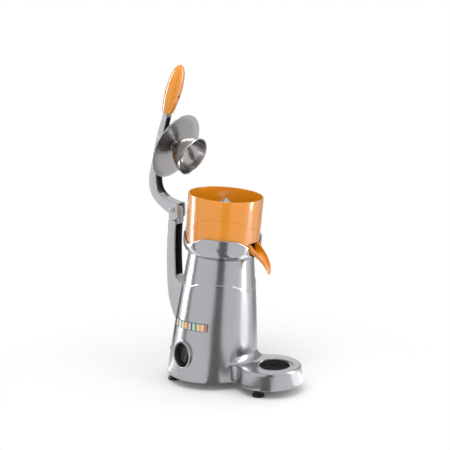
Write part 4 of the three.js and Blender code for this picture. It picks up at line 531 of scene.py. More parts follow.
finishOfSlot = {
    "cast_aluminium": castAluminium, "polished_steel": mirrorSteel, "zinc_steel": plainSteel,
    "orange_plastic": orangeGloss, "black_rubber": rubber, "black_plastic": moulding,
    "grey_plastic": greyPlastic, "bronze": bronze, "copper": copper, "strip_enamel": stripEnamel,
}
for subpart in frame["record"]["subparts"]:
    node = frame["nodes"][subpart["node"]]
    node.data.materials.clear()
    node.data.materials.append(finishOfSlot[subpart["material_slot"]])
print("finishes made")


# Body casting with its tray

casting = {
    "footRadius": 100.35, "neckRadius": 71.0, "swell": 1.7, "underside": 17.0, "top": 285.0,
    "sharp": 28, "footRound": 3.0, "lip": 9.5, "wall": 5.0, "floor": 22.0, "neckRound": 0.8,
    "neckBevel": 0.25,
    "ridge": 225.0, "ridgeStep": 1.0, "ridgeWidth": 2.0, "ridgeWave": 0.85, "levelTo": 60.0,
    "spigot": 66.5, "spigotFloor": 281.5, "bore": 40.0, "shelfBottom": 276.5,
    "ridgeShares": (0.12, 0.3, 0.5, 0.7, 0.88, 1.0),  # of the ridge's width
    "waistShare": 0.24,  # of the cone's front
    "columns": {"rear": 84, "waist": 9, "lobe": 24},
    "rows": {"foot": 4, "side": 7, "edge": 5, "root": 7, "cone": 22, "neck": 12, "inside": 8},
}
tray = {
    "reach": 149.0, "radius": 70.0, "draft": 2.5, "top": 55.0, "edge": 3.0, "neckFillet": 17.0,
    "rootFillet": 17.0, "edgeShare": 0.3, "rootShare": 0.55, "roof": 47.5, "recessReach": 162.0, "ring": 40.0,
    "ringDepth": 1.4, "matSeat": 32.3, "matDepth": 3.0, "groove": 1.2, "grooveDraft": 0.35,
    "grooveFoot": 1.3, "grooveWidth": 1.6, "rim": 0.8, "round": 0.3, "rimRound": 0.4, "columns": 72,
    "nearest": 1e-5, "keptFromShare": 0.999,  # of the ring, so that rounding drops no face beside it
}


def bodyRadius(height):
    share = min(max(height / casting["top"], 0.0), 1.0)
    straight = mix(casting["footRadius"], casting["neckRadius"], share)
    return straight + casting["swell"] * 4 * share * (1 - share)


def leaned(x, y, height):
    # rings lie level at the foot and square to the axis at the neck
    turn = lean * ease(height, casting["levelTo"], casting["top"])
    return (x, y * math.cos(turn) - height * sinLean, height * cosLean + y * math.sin(turn))


def conePoint(angle, height, offset=0.0):
    radius = bodyRadius(height) + offset
    return leaned(radius * math.cos(angle), radius * math.sin(angle), height)


def trayPlan(z, inset, bodyInset=0.0):
    # circles of the body and the tray's lobe, and the fillet that joins them
    height = z / cosLean
    middle = -height * sinLean
    bodyReach = bodyRadius(height) - bodyInset
    lobeReach = tray["radius"] - inset
    fillet = tray["neckFillet"] + inset
    gap = middle + tray["reach"]
    down = (gap ** 2 + (bodyReach + fillet) ** 2 - (lobeReach + fillet) ** 2) / (2 * gap)
    side = math.sqrt((bodyReach + fillet) ** 2 - down ** 2)
    neckY = middle - down
    return {"side": side, "neckY": neckY, "fillet": fillet, "lobeReach": lobeReach, "middle": middle,
            "bodyReach": bodyReach, "bodyAngle": math.atan2(-down, side),
            "lobeAngle": math.atan2(neckY + tray["reach"], side)}


waist, lobe, rear = (casting["columns"][k] for k in ("waist", "lobe", "rear"))
frontSteps = [("lobe", i / lobe) for i in range(lobe, 0, -1)]
frontSteps += [("waist", i / waist) for i in range(waist, -1, -1)]
columns = [(1, kind, share) for kind, share in frontSteps]
columns += [(0, "rear", i / rear) for i in range(1, rear)]
columns += [(-1, kind, share) for kind, share in reversed(frontSteps[1:])]
topPlan = trayPlan(tray["top"], tray["draft"])


def columnAngle(side, kind, share):
    start, end, split = topPlan["bodyAngle"], -math.pi / 2, casting["waistShare"]
    if kind == "rear":
        return mix(start, math.pi - start, share)
    angle = mix(start, end, split * share if kind == "waist" else mix(split, 1, share))
    return angle if side > 0 else math.pi - angle


def wallPoint(column, z, inset, bodyInset=0.0):
    side, kind, share = column
    plan = trayPlan(z, inset, bodyInset)
    if kind == "rear":
        angle = mix(plan["bodyAngle"], math.pi - plan["bodyAngle"], share)
        return (plan["bodyReach"] * math.cos(angle), plan["middle"] + plan["bodyReach"] * math.sin(angle), z)
    if kind == "waist":
        angle = math.pi + mix(plan["bodyAngle"], plan["lobeAngle"], share)
        x, y = plan["side"], plan["neckY"]
        radius = plan["fillet"]
    else:
        angle = mix(plan["lobeAngle"], -math.pi / 2, share)
        x, y = 0, -tray["reach"]
        radius = plan["lobeReach"]
    x += radius * math.cos(angle)
    return (x if side >= 0 else -x, y + radius * math.sin(angle), z)


def bodyColumn(column):
    # one line round the whole section, and the row on which the tray's flat starts
    angle = columnAngle(*column)
    rows, wall, lip = casting["rows"], casting["wall"], casting["lip"]
    top, under, foot = tray["top"], casting["underside"], casting["footRound"]
    neck, step, width = casting["top"], casting["ridgeStep"], casting["ridgeWidth"]
    rim = wallPoint(column, top, tray["draft"])
    base = conePoint(angle, top / cosLean)
    room = math.dist(rim, base) if column[1] != "rear" else 0.0
    edge = min(tray["edge"], tray["edgeShare"] * room)
    root = min(tray["rootFillet"], tray["rootShare"] * room)

    def draft(z):
        return tray["draft"] * min(max((z - under - foot) / (top - under - foot), 0), 1)

    line = [wallPoint(column, under, lip, lip)]
    for a in spread(0, math.pi / 2, rows["foot"]):
        inset = foot * (1 - math.sin(a))
        line.append(wallPoint(column, under + foot * (1 - math.cos(a)), inset, inset))
    line += [wallPoint(column, z, draft(z)) for z in spread(under + foot, top - edge, rows["side"])[1:]]
    for a in spread(0, math.pi / 2, rows["edge"])[1:]:
        inset = tray["draft"] + edge * (1 - math.cos(a))
        line.append(wallPoint(column, top - edge + edge * math.sin(a), inset))
    flatRow = len(line) - 1
    for a in spread(0, math.pi / 2, rows["root"]):
        line.append(conePoint(angle, (top + root * (1 - math.cos(a))) / cosLean, root * (1 - math.sin(a))))
    ridge = casting["ridge"] + casting["ridgeWave"] * lobeWave(angle + math.pi / 2)
    line += [conePoint(angle, h) for h in spread((top + root) / cosLean, ridge, rows["cone"])[1:]]
    for t in casting["ridgeShares"]:
        line.append(conePoint(angle, ridge + width * t, -step * ease(t, 0, 1)))
    upTo = neck - casting["neckRound"]
    line += [conePoint(angle, h, -step) for h in spread(ridge + width, upTo, rows["neck"])[1:]]
    line.append(conePoint(angle, neck - casting["neckBevel"], -step - casting["neckBevel"]))
    line.append(conePoint(angle, neck, -step - casting["neckRound"]))
    for radius, height in ((casting["spigot"], neck), (casting["spigot"], casting["spigotFloor"]),
                           (casting["bore"], casting["spigotFloor"]),
                           (casting["bore"], casting["shelfBottom"])):
        line.append(leaned(radius * math.cos(angle), radius * math.sin(angle), height))
    for height in spread(casting["shelfBottom"], tray["roof"] / cosLean, rows["inside"]):
        line.append(conePoint(angle, height, -wall))
    line.append(wallPoint(column, tray["roof"], wall + tray["draft"], wall))
    line.append(wallPoint(column, casting["floor"], wall, wall))
    line.append(wallPoint(column, casting["floor"], lip, lip))
    return line, flatRow


def hasFlat(column):
    # where the waist starts, the tray's edge runs straight into the cone's root
    return column[1] == "lobe"


def trayTop(lines, row):
    # the flat of the tray, between its edge and the cone's root, round the ring's recess
    right = [i for i, column in enumerate(columns) if hasFlat(column) and column[0] > 0]
    left = [i for i, column in enumerate(columns) if hasFlat(column) and column[0] < 0]
    order = right[::-1] + left[::-1]
    outer = [lines[i][row] for i in order]
    inner = [lines[i][row + 1] for i in reversed(order)]
    edge = [Vector(p[:2]) for p in outer + inner]
    middle = Vector((0, -tray["recessReach"]))
    ring = [Vector((tray["ring"] * x, tray["ring"] * y - tray["recessReach"]))
            for x, y in ellipse(1, 1, tray["columns"])]
    links = [(i, (i + 1) % len(edge)) for i in range(len(edge))]
    links += [(len(edge) + i, len(edge) + (i + 1) % len(ring)) for i in range(len(ring))]
    points, _, faces, *_ = delaunay_2d_cdt(edge + ring, links, [], 1, tray["nearest"])
    kept = []
    for face in faces:
        centre = sum((points[i] for i in face), Vector((0, 0))) / len(face)
        if (centre - middle).length > tray["ring"] * tray["keptFromShare"]:
            kept.append(tuple(face))
    return [(p.x, p.y, tray["top"]) for p in points], kept


def recess():
    top, ring, seat, rim, count = tray["top"], tray["ring"], tray["matSeat"], tray["rim"], tray["columns"]
    ledge, small, large = top - tray["ringDepth"], tray["round"], tray["rimRound"]
    deep = ledge - tray["groove"]
    profile = softened([
        (ring, top), (ring - tray["grooveDraft"], deep), (ring - tray["grooveFoot"], deep),
        (ring - tray["grooveWidth"], ledge, 0, small), (seat + rim * 2, ledge, 0, large),
        (seat + rim, ledge + rim, 0, large), (seat, ledge + rim, 0, small), (seat, top - tray["matDepth"]),
        (0, top - tray["matDepth"])])
    headings = [math.pi / 2 + a for a in spread(0, 2 * math.pi, count)[:-1]]
    points, faces = revolved(profile, count, headings)
    return [(x, y - tray["recessReach"], z) for x, y, z in points], faces


bodyLines = [bodyColumn(column) for column in columns]
flatRow = bodyLines[0][1]
bodyLines = [line for line, _ in bodyLines]


def overTray(i, k):
    # quads of the flat, which the tray's top takes the place of
    return k == flatRow and hasFlat(columns[i]) and hasFlat(columns[(i + 1) % len(columns)])


bodyShape = gathered(gridOf(bodyLines, closedAcross=True, closedAlong=True, skip=overTray),
                     trayTop(bodyLines, flatRow), recess())
bodyCasting = madeObject("bodyCasting", bodyShape, onTable, casting["sharp"])

switch = {
    "heading": 101.0, "height": 71.0, "halfWidth": 22.0, "halfHeight": 27.0, "proud": 3.0, "columns": 56,
    "lip": 4.5, "lipRound": 1.6, "lipEdge": 0.9, "lipEase": 0.3, "lipDepth": 17.0, "holeDepth": 19.0,
    "holeAbove": 4.0, "gap": 0.3, "sunk": 0.45, "edge": 0.8, "wall": 1.6, "depth": 15.0, "floor": 1.7,
    "slotHalf": 4.0,
    "cove": [(0.6, 1.5), (1.1, 0.4), (2.2, 0.0)],  # inward from the liner's wall, up from its floor
    "rockerWidth": 16.5, "rockerHeight": 34.0, "rockerProud": 6.0, "rockerThickness": 5.0, "tilt": 7.0,
    "rockerEdge": 0.7, "cornerSteps": 5, "dishSteps": 14,
    "flankShare": 0.55, "endShare": 0.86, "dishShare": 0.62, "heelShare": 0.3, "heelDepthShare": 0.8,
}
switchFace = bodyRadius(switch["height"]) + switch["proud"]
onFlank = onSpindle @ shifted(0, 0, switch["height"]) @ turned(-switch["heading"], "Z")


def ovalWall(profile):
    # profile points are (outward from the oval's edge, distance from the spindle axis)
    lines = []
    for offset, reach in profile:
        outline = ellipse(switch["halfWidth"] + offset, switch["halfHeight"] + offset, switch["columns"])
        lines.append([(x, -reach, z) for x, z in outline])
    return lines


def lipTube():
    lip, edge, small = switch["lip"], switch["lipEdge"], switch["lipEase"]
    inside = switchFace - switch["lipDepth"]
    section = softened([
        (0, inside), (lip, inside), (lip, switchFace, 0, switch["lipRound"]), (edge, switchFace, 0, small),
        (0, switchFace - edge, 0, small), (0, inside)])
    return gridOf(ovalWall([p[:2] for p in section]), closedAcross=True)


holeOffset = switch["lip"] / 3
hole = capped(ovalWall([(holeOffset, switchFace - switch["holeDepth"]),
                        (holeOffset, switchFace + switch["holeAbove"])]))
bodyCasting = carved(bodyCasting, [hole], onFlank, "DIFFERENCE", casting["sharp"], folded=True)
bodyCasting = carved(bodyCasting, [lipTube()], onFlank, "UNION", casting["sharp"], folded=True)
dressed(bodyCasting, turnedAluminium, "base", ["housing"])
print("body casting made")


# Switch in the flank

def linerShape():
    wall, gap, floor = switch["wall"], switch["gap"], switchFace - switch["depth"]
    brim, edge = switchFace - switch["sunk"], switchFace - switch["edge"]
    profile = [(-gap, floor - switch["floor"]), (-gap, edge), (-2 * gap, brim), (-wall + gap, brim)]
    profile.append((-wall, edge))
    profile += [(-wall - inward, floor + up) for inward, up in switch["cove"]]
    return capped(ovalWall(profile))


def slotShape():
    wide, tall = (switch[k] / 2 + switch["gap"] for k in ("rockerWidth", "rockerHeight"))
    middle = switchFace - switch["depth"]
    return capped([[(x, -reach, z) for x, z in ((-wide, -tall), (wide, -tall), (wide, tall), (-wide, tall))]
                   for reach in (middle - switch["slotHalf"], middle + switch["slotHalf"])])


switchLiner = madeObject("switchLiner", linerShape(), onFlank, sharp=40)
switchLiner = carved(switchLiner, [slotShape()], onFlank, sharp=40)
dressed(switchLiner, moulding, "base", ["switch_liner"])


def rockerShape():
    half, thick, wide = switch["rockerHeight"] / 2, switch["rockerThickness"], switch["rockerWidth"] / 2
    flank, end, dish = thick * switch["flankShare"], half * switch["endShare"], thick * switch["dishShare"]
    heel, deep = half * switch["heelShare"], thick * switch["heelDepthShare"]
    outline = [(-half, 0), (-half, flank)]
    outline += bend((-half, flank), (-half, thick), (-end, thick), switch["cornerSteps"])[1:]
    outline += bend((-end, thick), (0, dish), (end, thick), switch["dishSteps"])[1:]
    outline += bend((end, thick), (half, thick), (half, flank), switch["cornerSteps"])[1:]
    outline += [(half, 0), (heel, -deep), (-heel, -deep)]
    return capped([[(x, -up, z) for z, up in outline] for x in (-wide, wide)])


pivot = switchFace - switch["depth"] + switch["rockerProud"] - switch["rockerThickness"]
onRocker = onFlank @ shifted(0, -pivot, 0) @ turned(-switch["tilt"], "X")
rockerPiece = eased(madeObject("rocker", rockerShape(), onRocker), switch["rockerEdge"], segments=3, limit=50)
dressed(rockerPiece, blackGloss, "rocker", ["switch_rocker"])
print("switch made")


# Trim strip, level with the table

def stripHeight(heading, level):
    # where up the leaning cone a level line runs at this heading
    height = level / cosLean
    for _ in range(8):
        turn = lean * ease(height, casting["levelTo"], casting["top"])
        height = (level + bodyRadius(height) * math.cos(heading) * math.sin(turn)) / cosLean
    return height


def stripShape():
    half, gap, edge = trimStrip["breadth"] / 2, trimStrip["gap"], trimStrip["edge"]
    face = gap + trimStrip["thickness"]
    section = [(gap, -half), (face - edge, -half), (face, -half + edge)]
    section += [(face, half * t) for t in (-0.5, 0, 0.5)]
    section += [(face, half - edge), (face - edge, half), (gap, half), (gap, 0)]
    lines = []
    for degrees in spread(trimStrip["from"], trimStrip["to"], trimStrip["columns"]):
        heading = math.radians(degrees)
        line = []
        for offset, up in section:
            height = stripHeight(heading, trimStrip["height"] + up)
            radius = bodyRadius(height) + offset
            line.append(leaned(-radius * math.sin(heading), -radius * math.cos(heading), height))
        lines.append(line)
    return capped(lines)


dressed(madeObject("trimStrip", stripShape(), onTable), stripEnamel, "base", ["trim_strip"])


# Head casting: a bell whose edge waves, notched for the spout

head = {
    "foot": 285.3, "footRadius": 71.0, "radius": 83.6, "edge": 322.5, "edgeThickness": 2.8, "deck": 291.0,
    "spigot": 66.2, "spigotFloor": 281.8, "bore": 14.3, "hubRadius": 20.0, "hubTop": 302.0, "hubRound": 0.8,
    "inner": 79.5, "innerRound": (0.35, 0.2), "corner": 8.0, "gap": 0.3, "lipEndShare": 0.4, "sharp": 28,
    "steps": {"bell": 6, "lip": 3, "inside": 4},
    "insideShare": (0.5, 0.2),  # of the rise, and of the wave
    "cornerShares": [(0.1, 1), (0.4, 0.35), (1, 0)],  # inward and up
    "notchHalf": 20.0, "notchFloor": 291.8, "notchColumns": 40, "columns": 180,
    "bellShares": [(0.6, 0.09, 0), (0.27, 0.23, 0), (0.06, 0.44, 0.1), (0, 0.7, 0.5)],  # flare, rise, wave
    "lipShares": [(0.1, 0.5), (0.3, 0.12), (0.65, 0)],  # of the edge's thickness, inward and down
}


def headProfile():
    seat, edge, outer, inner = head["foot"], head["edge"], head["radius"], head["inner"]
    steps = head["steps"]
    rise, flare, thick = edge - seat, outer - head["footRadius"], head["edgeThickness"]
    deck, hub, hubTop, corner = head["deck"], head["hubRadius"], head["hubTop"], head["corner"]
    lipRow = [(outer - thick * inward, edge - thick * down, 1) for inward, down in head["lipShares"]]
    lipEnd = (inner, edge - thick * head["lipEndShare"], 1)
    midway, midWave = head["insideShare"]
    bellRow = [(outer - flare * f, seat + rise * r, w) for f, r, w in head["bellShares"]]
    bell = along([(outer - flare, seat + head["gap"], 0)] + bellRow + lipRow[:1], steps["bell"])
    inward, down = head["innerRound"]
    lipTop = along(lipRow + [(inner + inward, edge - down, 1), lipEnd], steps["lip"])[1:]
    cornerRow = [(inner - corner * inward, deck + corner * up, 0) for inward, up in head["cornerShares"]]
    inside = along([lipEnd, (inner, seat + rise * midway, midWave)] + cornerRow, steps["inside"])[1:]
    rest = [(hub, deck, 0), (hub, hubTop - head["hubRound"], 0), (hub - head["hubRound"], hubTop, 0),
            (head["bore"], hubTop, 0), (head["bore"], head["spigotFloor"], 0),
            (head["spigot"], head["spigotFloor"], 0), (head["spigot"], seat, 0),
            (outer - flare - head["gap"], seat, 0)]
    return bell + lipTop + inside + rest


def notched(radius, height, heading):
    # rows sink in proportion where the spout crosses the edge
    side = abs(radius * math.sin(heading))
    if math.cos(heading) < 0 or side >= head["notchHalf"] or height <= head["deck"]:
        return radius, height
    share = side / head["notchHalf"]
    limit = head["notchFloor"] + head["notchHalf"] * (1 - math.sqrt(max(1 - share * share, 0)))
    top = head["edge"] + lobeWave(heading)
    if limit >= top:
        return radius, height
    return radius, head["deck"] + (height - head["deck"]) * (limit - head["deck"]) / (top - head["deck"])


notchTurn = math.asin(head["notchHalf"] / head["radius"])
nearSpout = [notchTurn * math.sin(a) for a in spread(-math.pi / 2, math.pi / 2, head["notchColumns"])]
headHeadings = nearSpout + spread(notchTurn, 2 * math.pi - notchTurn, head["columns"])[1:-1]
headShape = revolved(headProfile(), 0, headHeadings, notched)
headCasting = madeObject("headCasting", headShape, onSpindle, head["sharp"])
dressed(headCasting, polishedAluminium, "base", ["head_casting"])
print("head made")


# Bowl with its spout

bowl = {
    "radius": 80.0, "skirt": 78.9, "skirtRise": 10.0, "draft": 1.1, "wall": 2.5, "rim": 411.3, "under": 291.3,
    "floor": 295.3, "corner": 8.0, "taper": 1.6, "hub": 24.5, "hubTop": 318.0, "hubInner": 21.5,
    "cornerShares": [(1, 0), (0.4, 0.35)],  # inward and up
    "ledge": 336.0, "ledgeWidth": 2.6, "ledgeRound": (0.5, 0.3), "cove": 3.4, "coveShare": 0.6, "foot": 5.2,
    "grooveRise": 40.5, "grooveDepth": 0.6, "grooveWidth": 0.8,
    "grooveShares": [(0.45, 0.75), (0.9, 0.4), (1, 0), (0.9, -0.4), (0.45, -0.75)],  # deep, down
    "mouthHalf": 14.5, "mouthTop": 322.0, "mouthRows": 5, "mouthColumns": 10, "columns": 168,
    "rimSteps": 8, "insideShares": (0.3, 0.65),  # down from the rim to the ledge
}
spout = {
    "reach": 44.0, "drop": 62.0, "top": 324.0, "halfWidth": 17.3, "wall": 2.4, "steps": 5, "columns": 20,
    "thinShare": 0.5, "keelShare": 0.9, "insideShare": 0.98, "leastInside": 0.1, "floorShare": 0.4,
    "keelShares": [(-0.045, 0.475), (0.03, 0.475), (0.22, 0.51), (0.44, 0.59), (0.64, 0.70), (0.81, 0.82),
                   (0.92, 0.92), (0.975, 0.985)],  # of the reach, and of the drop
    "lipShares": [(-0.045, 0.0), (0.03, 0.055), (0.28, 0.2), (0.5, 0.335), (0.7, 0.475), (0.865, 0.64),
                  (0.95, 0.8), (0.995, 0.95)],
    "widthShares": [1, 1, 0.94, 0.83, 0.68, 0.54, 0.42, 0.27],
    "rimShares": [(0, 0.45), (0.15, 0.12), (0.5, 0), (0.85, 0.12), (1, 0.45)],  # of the wall, inward and down
}


def bowlProfile():
    # the profile, and the two rows at which the mouth's hole starts outside and inside
    skirt, rim, wall, corner = bowl["skirt"], bowl["rim"], bowl["wall"], bowl["corner"]
    groove, deep, half = head["edge"] + bowl["grooveRise"], bowl["grooveDepth"], bowl["grooveWidth"]
    under, floor, ledge, mouthTop = bowl["under"], bowl["floor"], bowl["ledge"], bowl["mouthTop"]
    outer, inner, top = skirt + bowl["draft"] / 2, bowl["radius"] - wall, rim - wall / 2
    side, ledgeRound = inner - bowl["ledgeWidth"], bowl["ledgeRound"]
    low = [(bowl["hubInner"], under, 0)]
    low += [(skirt - corner * inward, under + corner * up, 0) for inward, up in bowl["cornerShares"]]
    mouthOut = [(mix(skirt - bowl["taper"], skirt, t), mix(floor, mouthTop, t), 0)
                for t in spread(0, 1, bowl["mouthRows"])]
    upper = [(skirt, head["edge"] + bowl["skirtRise"], 0.5), (outer, groove - half, 1)]
    upper += [(outer - deep * t, groove - half * u, 1) for t, u in bowl["grooveShares"]]
    upper += [(outer, groove + half, 1), (mix(outer, bowl["radius"], 0.5), mix(groove, rim, 0.5), 0.5)]
    edge = [(bowl["radius"] - wall / 2 * (1 - math.cos(a)), top + wall / 2 * math.sin(a), 0)
            for a in spread(0, math.pi, bowl["rimSteps"])]
    inside = [(inner, mix(top, ledge, t), 0) for t in bowl["insideShares"]]
    inside += [(inner, ledge + bowl["ledgeWidth"] / 2, 0), (inner - ledgeRound[0], ledge + ledgeRound[1], 0),
               (side, ledge, 0)]
    mouthIn = []
    for t in spread(0, 1, bowl["mouthRows"]):
        share = max((t - bowl["coveShare"]) / (1 - bowl["coveShare"]), 0) ** 2
        mouthIn.append((mix(side, side - bowl["cove"], share), mix(mouthTop, floor, t), 0))
    rest = [(side - bowl["foot"], floor, 0), (bowl["hub"] + wall, floor, 0), (bowl["hub"], bowl["hubTop"], 0),
            (bowl["hubInner"], bowl["hubTop"], 0)]
    profile = low + mouthOut + upper + edge + inside + mouthIn + rest
    return profile, len(low), len(low) + len(mouthOut + upper + edge + inside)


def bowlShape():
    profile, outRow, inRow = bowlProfile()
    across, down = bowl["mouthColumns"], bowl["mouthRows"]
    turn = math.asin(bowl["mouthHalf"] / bowl["skirt"])
    headings = spread(-turn, turn, across) + spread(turn, 2 * math.pi - turn, bowl["columns"])[1:-1]
    rows = range(down)

    def isMouth(i, k):
        return i < across and (k - outRow in rows or k - inRow in rows)

    points, faces = revolved(profile, 0, headings, skip=isMouth)
    width, count = len(profile), len(headings)
    last = width - 1
    faces += [(i * width + last, ((i + 1) % count) * width + last, ((i + 1) % count) * width, i * width)
              for i in range(count)]
    for i in (0, across):  # the mouth's two sides
        for k in rows:
            faces.append((i * width + outRow + k, i * width + outRow + k + 1,
                          i * width + inRow + down - 1 - k, i * width + inRow + down - k))
    for i in range(across):  # its sill and its head
        for a, b in ((outRow, inRow + down), (outRow + down, inRow)):
            faces.append((i * width + a, (i + 1) * width + a, (i + 1) * width + b, i * width + b))
    return points, faces


def onSpout(share):
    return Vector((bowl["skirt"] + spout["reach"] * share[0], spout["top"] - spout["drop"] * share[1]))


def spoutShape():
    shares = zip(spout["keelShares"], spout["lipShares"], spout["widthShares"])
    rows = along([(*keel, *lip, width) for keel, lip, width in shares], spout["steps"])
    lines = []
    for number, row in enumerate(rows):
        keel, lipPoint = onSpout(row[:2]), onSpout(row[2:4])
        depth, away = (lipPoint - keel).length, (lipPoint - keel).normalized()
        half = spout["halfWidth"] * row[4]
        wall = min(spout["wall"], half * spout["thinShare"], depth * spout["thinShare"])
        turn, inHalf = min(half, depth * spout["keelShare"]), half - wall
        inTurn = max(min(inHalf, depth - wall) * spout["insideShare"], spout["leastInside"])
        inTop = depth - wall * spout["floorShare"]
        rim = [(half - wall * inward, depth - wall * down) for inward, down in spout["rimShares"]]
        outer = [(half * math.cos(a), turn * (1 - math.sin(a))) for a in spread(0, math.pi, spout["columns"])]
        inner = [(inHalf * math.cos(a), min(wall + inTurn * (1 - math.sin(a)), inTop))
                 for a in spread(math.pi, 0, spout["columns"])]
        line = []
        for x, up in rim[:1] + outer + [(-x, up) for x, up in rim] + inner + rim[:0:-1]:
            forward, height = keel + away * up
            if number < spout["steps"]:  # the root follows the bowl's round wall
                sag = bowl["skirt"] - math.sqrt(bowl["skirt"] ** 2 - x * x)
                forward -= sag * (1 - number / spout["steps"])
            line.append((x, -forward, height))
        lines.append(line)
    return capped(lines)


bowlPiece = madeObject("bowl", gathered(bowlShape(), spoutShape()), onSpindle, sharp=30)
dressed(bowlPiece, orangeGloss, "base", ["bowl"])
print("bowl made")


# Rear column

column = {
    "width": 29.5, "wall": 3.2, "front": 80.5, "depth": 21.5, "bow": 6.5, "round": 2.4, "root": 100.0,
    "top": 342.7, "topEase": 1.0, "least": 2.0, "sunk": 4.0, "leavesBody": 240.0, "rows": 70, "edge": 0.6,
    "channelBottom": 222.0, "channelTop": 334.5, "web": 4.0,
    "channelShares": (0.3, 0.5, 0.75, 0.6),  # of the depth, the bow, the bow and the depth
    "channelSteps": (8, 12, 5), "edgeSteps": 24, "tongueSteps": 28,
    "tongueWidth": 16.9, "tongue": 14.0, "tongueFoot": 13.3, "tongueSunk": 4.0,
    # of the depth, the bow and the rise
    "rearShares": [(-1.35, 0, 0), (-0.2, 0, 0.14), (0, 0.45, 0.3), (0, 1.6, 0.6)],
    "foreShares": [(-1.6, 0, 0.4), (0, 0, 0.44), (0, 0.45, 0.5), (0, 0.9, 0.8)],
}


def boxedRing(front, back, half, rounding, toPoint, most=0.45):
    # rounded rectangle between a front and a back point, x across
    length = math.dist(front, back)
    rounding = min(rounding, length * most)
    direction = [(b - f) / length for f, b in zip(front, back)]
    ring = []
    for cornerX, cornerAlong, start in ((1, length, 0), (-1, length, 90), (-1, 0, 180), (1, 0, 270)):
        centreX = cornerX * (half - rounding)
        centreAlong = cornerAlong + (-rounding if cornerAlong else rounding)
        for a in spread(start, start + 90, 4):
            x = centreX + rounding * math.cos(math.radians(a))
            reach = centreAlong + rounding * math.sin(math.radians(a))
            ring.append(toPoint(x, front[0] + direction[0] * reach, front[1] + direction[1] * reach))
    return ring


def atHeight(line, z):
    for (y0, z0), (y1, z1) in zip(line, line[1:]):
        if z0 <= z <= z1:
            return mix(y0, y1, (z - z0) / (z1 - z0) if z1 > z0 else 0)
    return line[0][0] if z < line[0][1] else line[-1][0]


def bodyBackAt(z):
    height = z / cosLean
    return bodyRadius(height) - height * sinLean


def columnLine(shares, base, last):
    depth, bow, root, rise = column["depth"], column["bow"], column["root"], column["top"] - column["root"]
    points = [(base + depth * d + bow * b, root + rise * r) for d, b, r in shares] + [last]
    return bend(*points[:3], column["edgeSteps"]) + bend(*points[2:], column["edgeSteps"])[1:]


def columnShape():
    front, back, top = column["front"], column["front"] + column["depth"], column["top"]
    fore = columnLine(column["foreShares"], front, (front - column["topEase"], top))
    rear = columnLine(column["rearShares"], back, (back, top))
    rings = []
    for z in spread(column["root"], top, column["rows"]):
        back = atHeight(rear, z)
        inBody = bodyBackAt(z) - column["sunk"]
        front = min(atHeight(fore, z) if z >= fore[0][1] else inBody, back - column["least"])
        if z < column["leavesBody"]:
            front = min(max(front, inBody), back - column["least"])
        rings.append(boxedRing((front, z), (back, z), column["width"] / 2, column["round"],
                               lambda x, y, up: (x, y, up)))
    return capped(rings)


def plate(outline, width):
    return capped([[(x, y, z) for y, z in outline] for x in (-width / 2, width / 2)])


def channelOutline():
    front, depth, bow, web = column["front"], column["depth"], column["bow"], column["web"]
    low, high, deep = column["channelBottom"], column["channelTop"], front + depth - web
    pull, swell, reach, rise = column["channelShares"]
    outline = [(front - depth, low), (deep - depth * pull, low)]
    turns = [((deep + bow * swell, low), (deep + bow * reach, low + depth * rise)),
             ((deep + bow, (low + high) / 2), (deep, high - web)),
             ((deep, high), (deep - web, high))]
    for (control, end), steps in zip(turns, column["channelSteps"]):
        outline += bend(outline[-1], control, end, steps)[1:]
    return outline + [(front - depth, high)]


def tongueOutline():
    y, z, radius = layout["hingeBack"], layout["hingeHeight"], column["tongue"]
    foot, low = column["tongueFoot"], column["top"] - column["tongueSunk"]
    arc = [(y + radius * math.cos(a), z + radius * math.sin(a))
           for a in spread(0, math.pi, column["tongueSteps"])]
    return [(y - foot, low), (y + foot, low)] + arc


channelWidth = column["width"] - 2 * column["wall"]
columnCasting = madeObject("columnCasting", columnShape(), onTable)
columnCasting = carved(columnCasting, [plate(channelOutline(), channelWidth)], onTable)
columnCasting = carved(columnCasting, [plate(tongueOutline(), column["tongueWidth"])], onTable, "UNION")
columnCasting = eased(columnCasting, column["edge"])
dressed(columnCasting, castAluminium, "base", ["column"])


# Lever: a curved channel casting with a fork at its foot

arm = {
    "rise": 211.0, "sway": 65.5, "footWidth": 29.5, "topWidth": 18.0, "wall": 3.2, "round": 2.0, "edge": 0.6,
    "forkDrop": 23.0, "forkNose": 15.0, "noseDrop": 5.0, "cheek": 6.0, "room": 14.6, "slotReach": 46.0,
    "boss": 10.0, "bossRound": 0.8, "bossSunk": 2.0, "bossColumns": 40, "foot": 16, "rows": 90,
    "smooth": 10, "slotSteps": 10,
    "narrowFromShare": 1.2, "narrowToShare": 0.9,  # of the fork's nose, and of the rise
    # of the fork's nose and its drop
    "heelShares": (0.5, 0.34), "noseShares": (0.5, 0.93), "noseLowShare": 0.8, "browShares": (0.6, 0.93),
    "hollowFrom": 38.2, "hollowStep": 0.02, "hollowReach": 30.0, "hollowRows": 60,
    # of the sway and the rise
    "backShares": [(0.52, 0.028), (0.81, 0.109), (0.97, 0.194), (1, 0.299), (0.947, 0.403), (0.847, 0.521),
                   (0.73, 0.692), (0.595, 0.82), (0.37, 1)],
    "frontShares": [(0.12, 0.09), (0.41, 0.128), (0.63, 0.194), (0.7, 0.294), (0.655, 0.403), (0.56, 0.521),
                    (0.46, 0.692), (0.335, 0.834), (0.19, 0.978)],
    "hollowShares": [(0.3, 0.94), (0.44, 0.834), (0.575, 0.692), (0.7, 0.521), (0.79, 0.403), (0.85, 0.299),
                     (0.79, 0.22), (0.6, 0.15), (0.47, 0.118)],
}


def armPoints(shares):
    return [(arm["sway"] * sway, arm["rise"] * rise) for sway, rise in shares]


def armWidth(z):
    low, high = arm["forkNose"] * arm["narrowFromShare"], arm["rise"] * arm["narrowToShare"]
    return mix(arm["footWidth"], arm["topWidth"], ease(z, low, high))


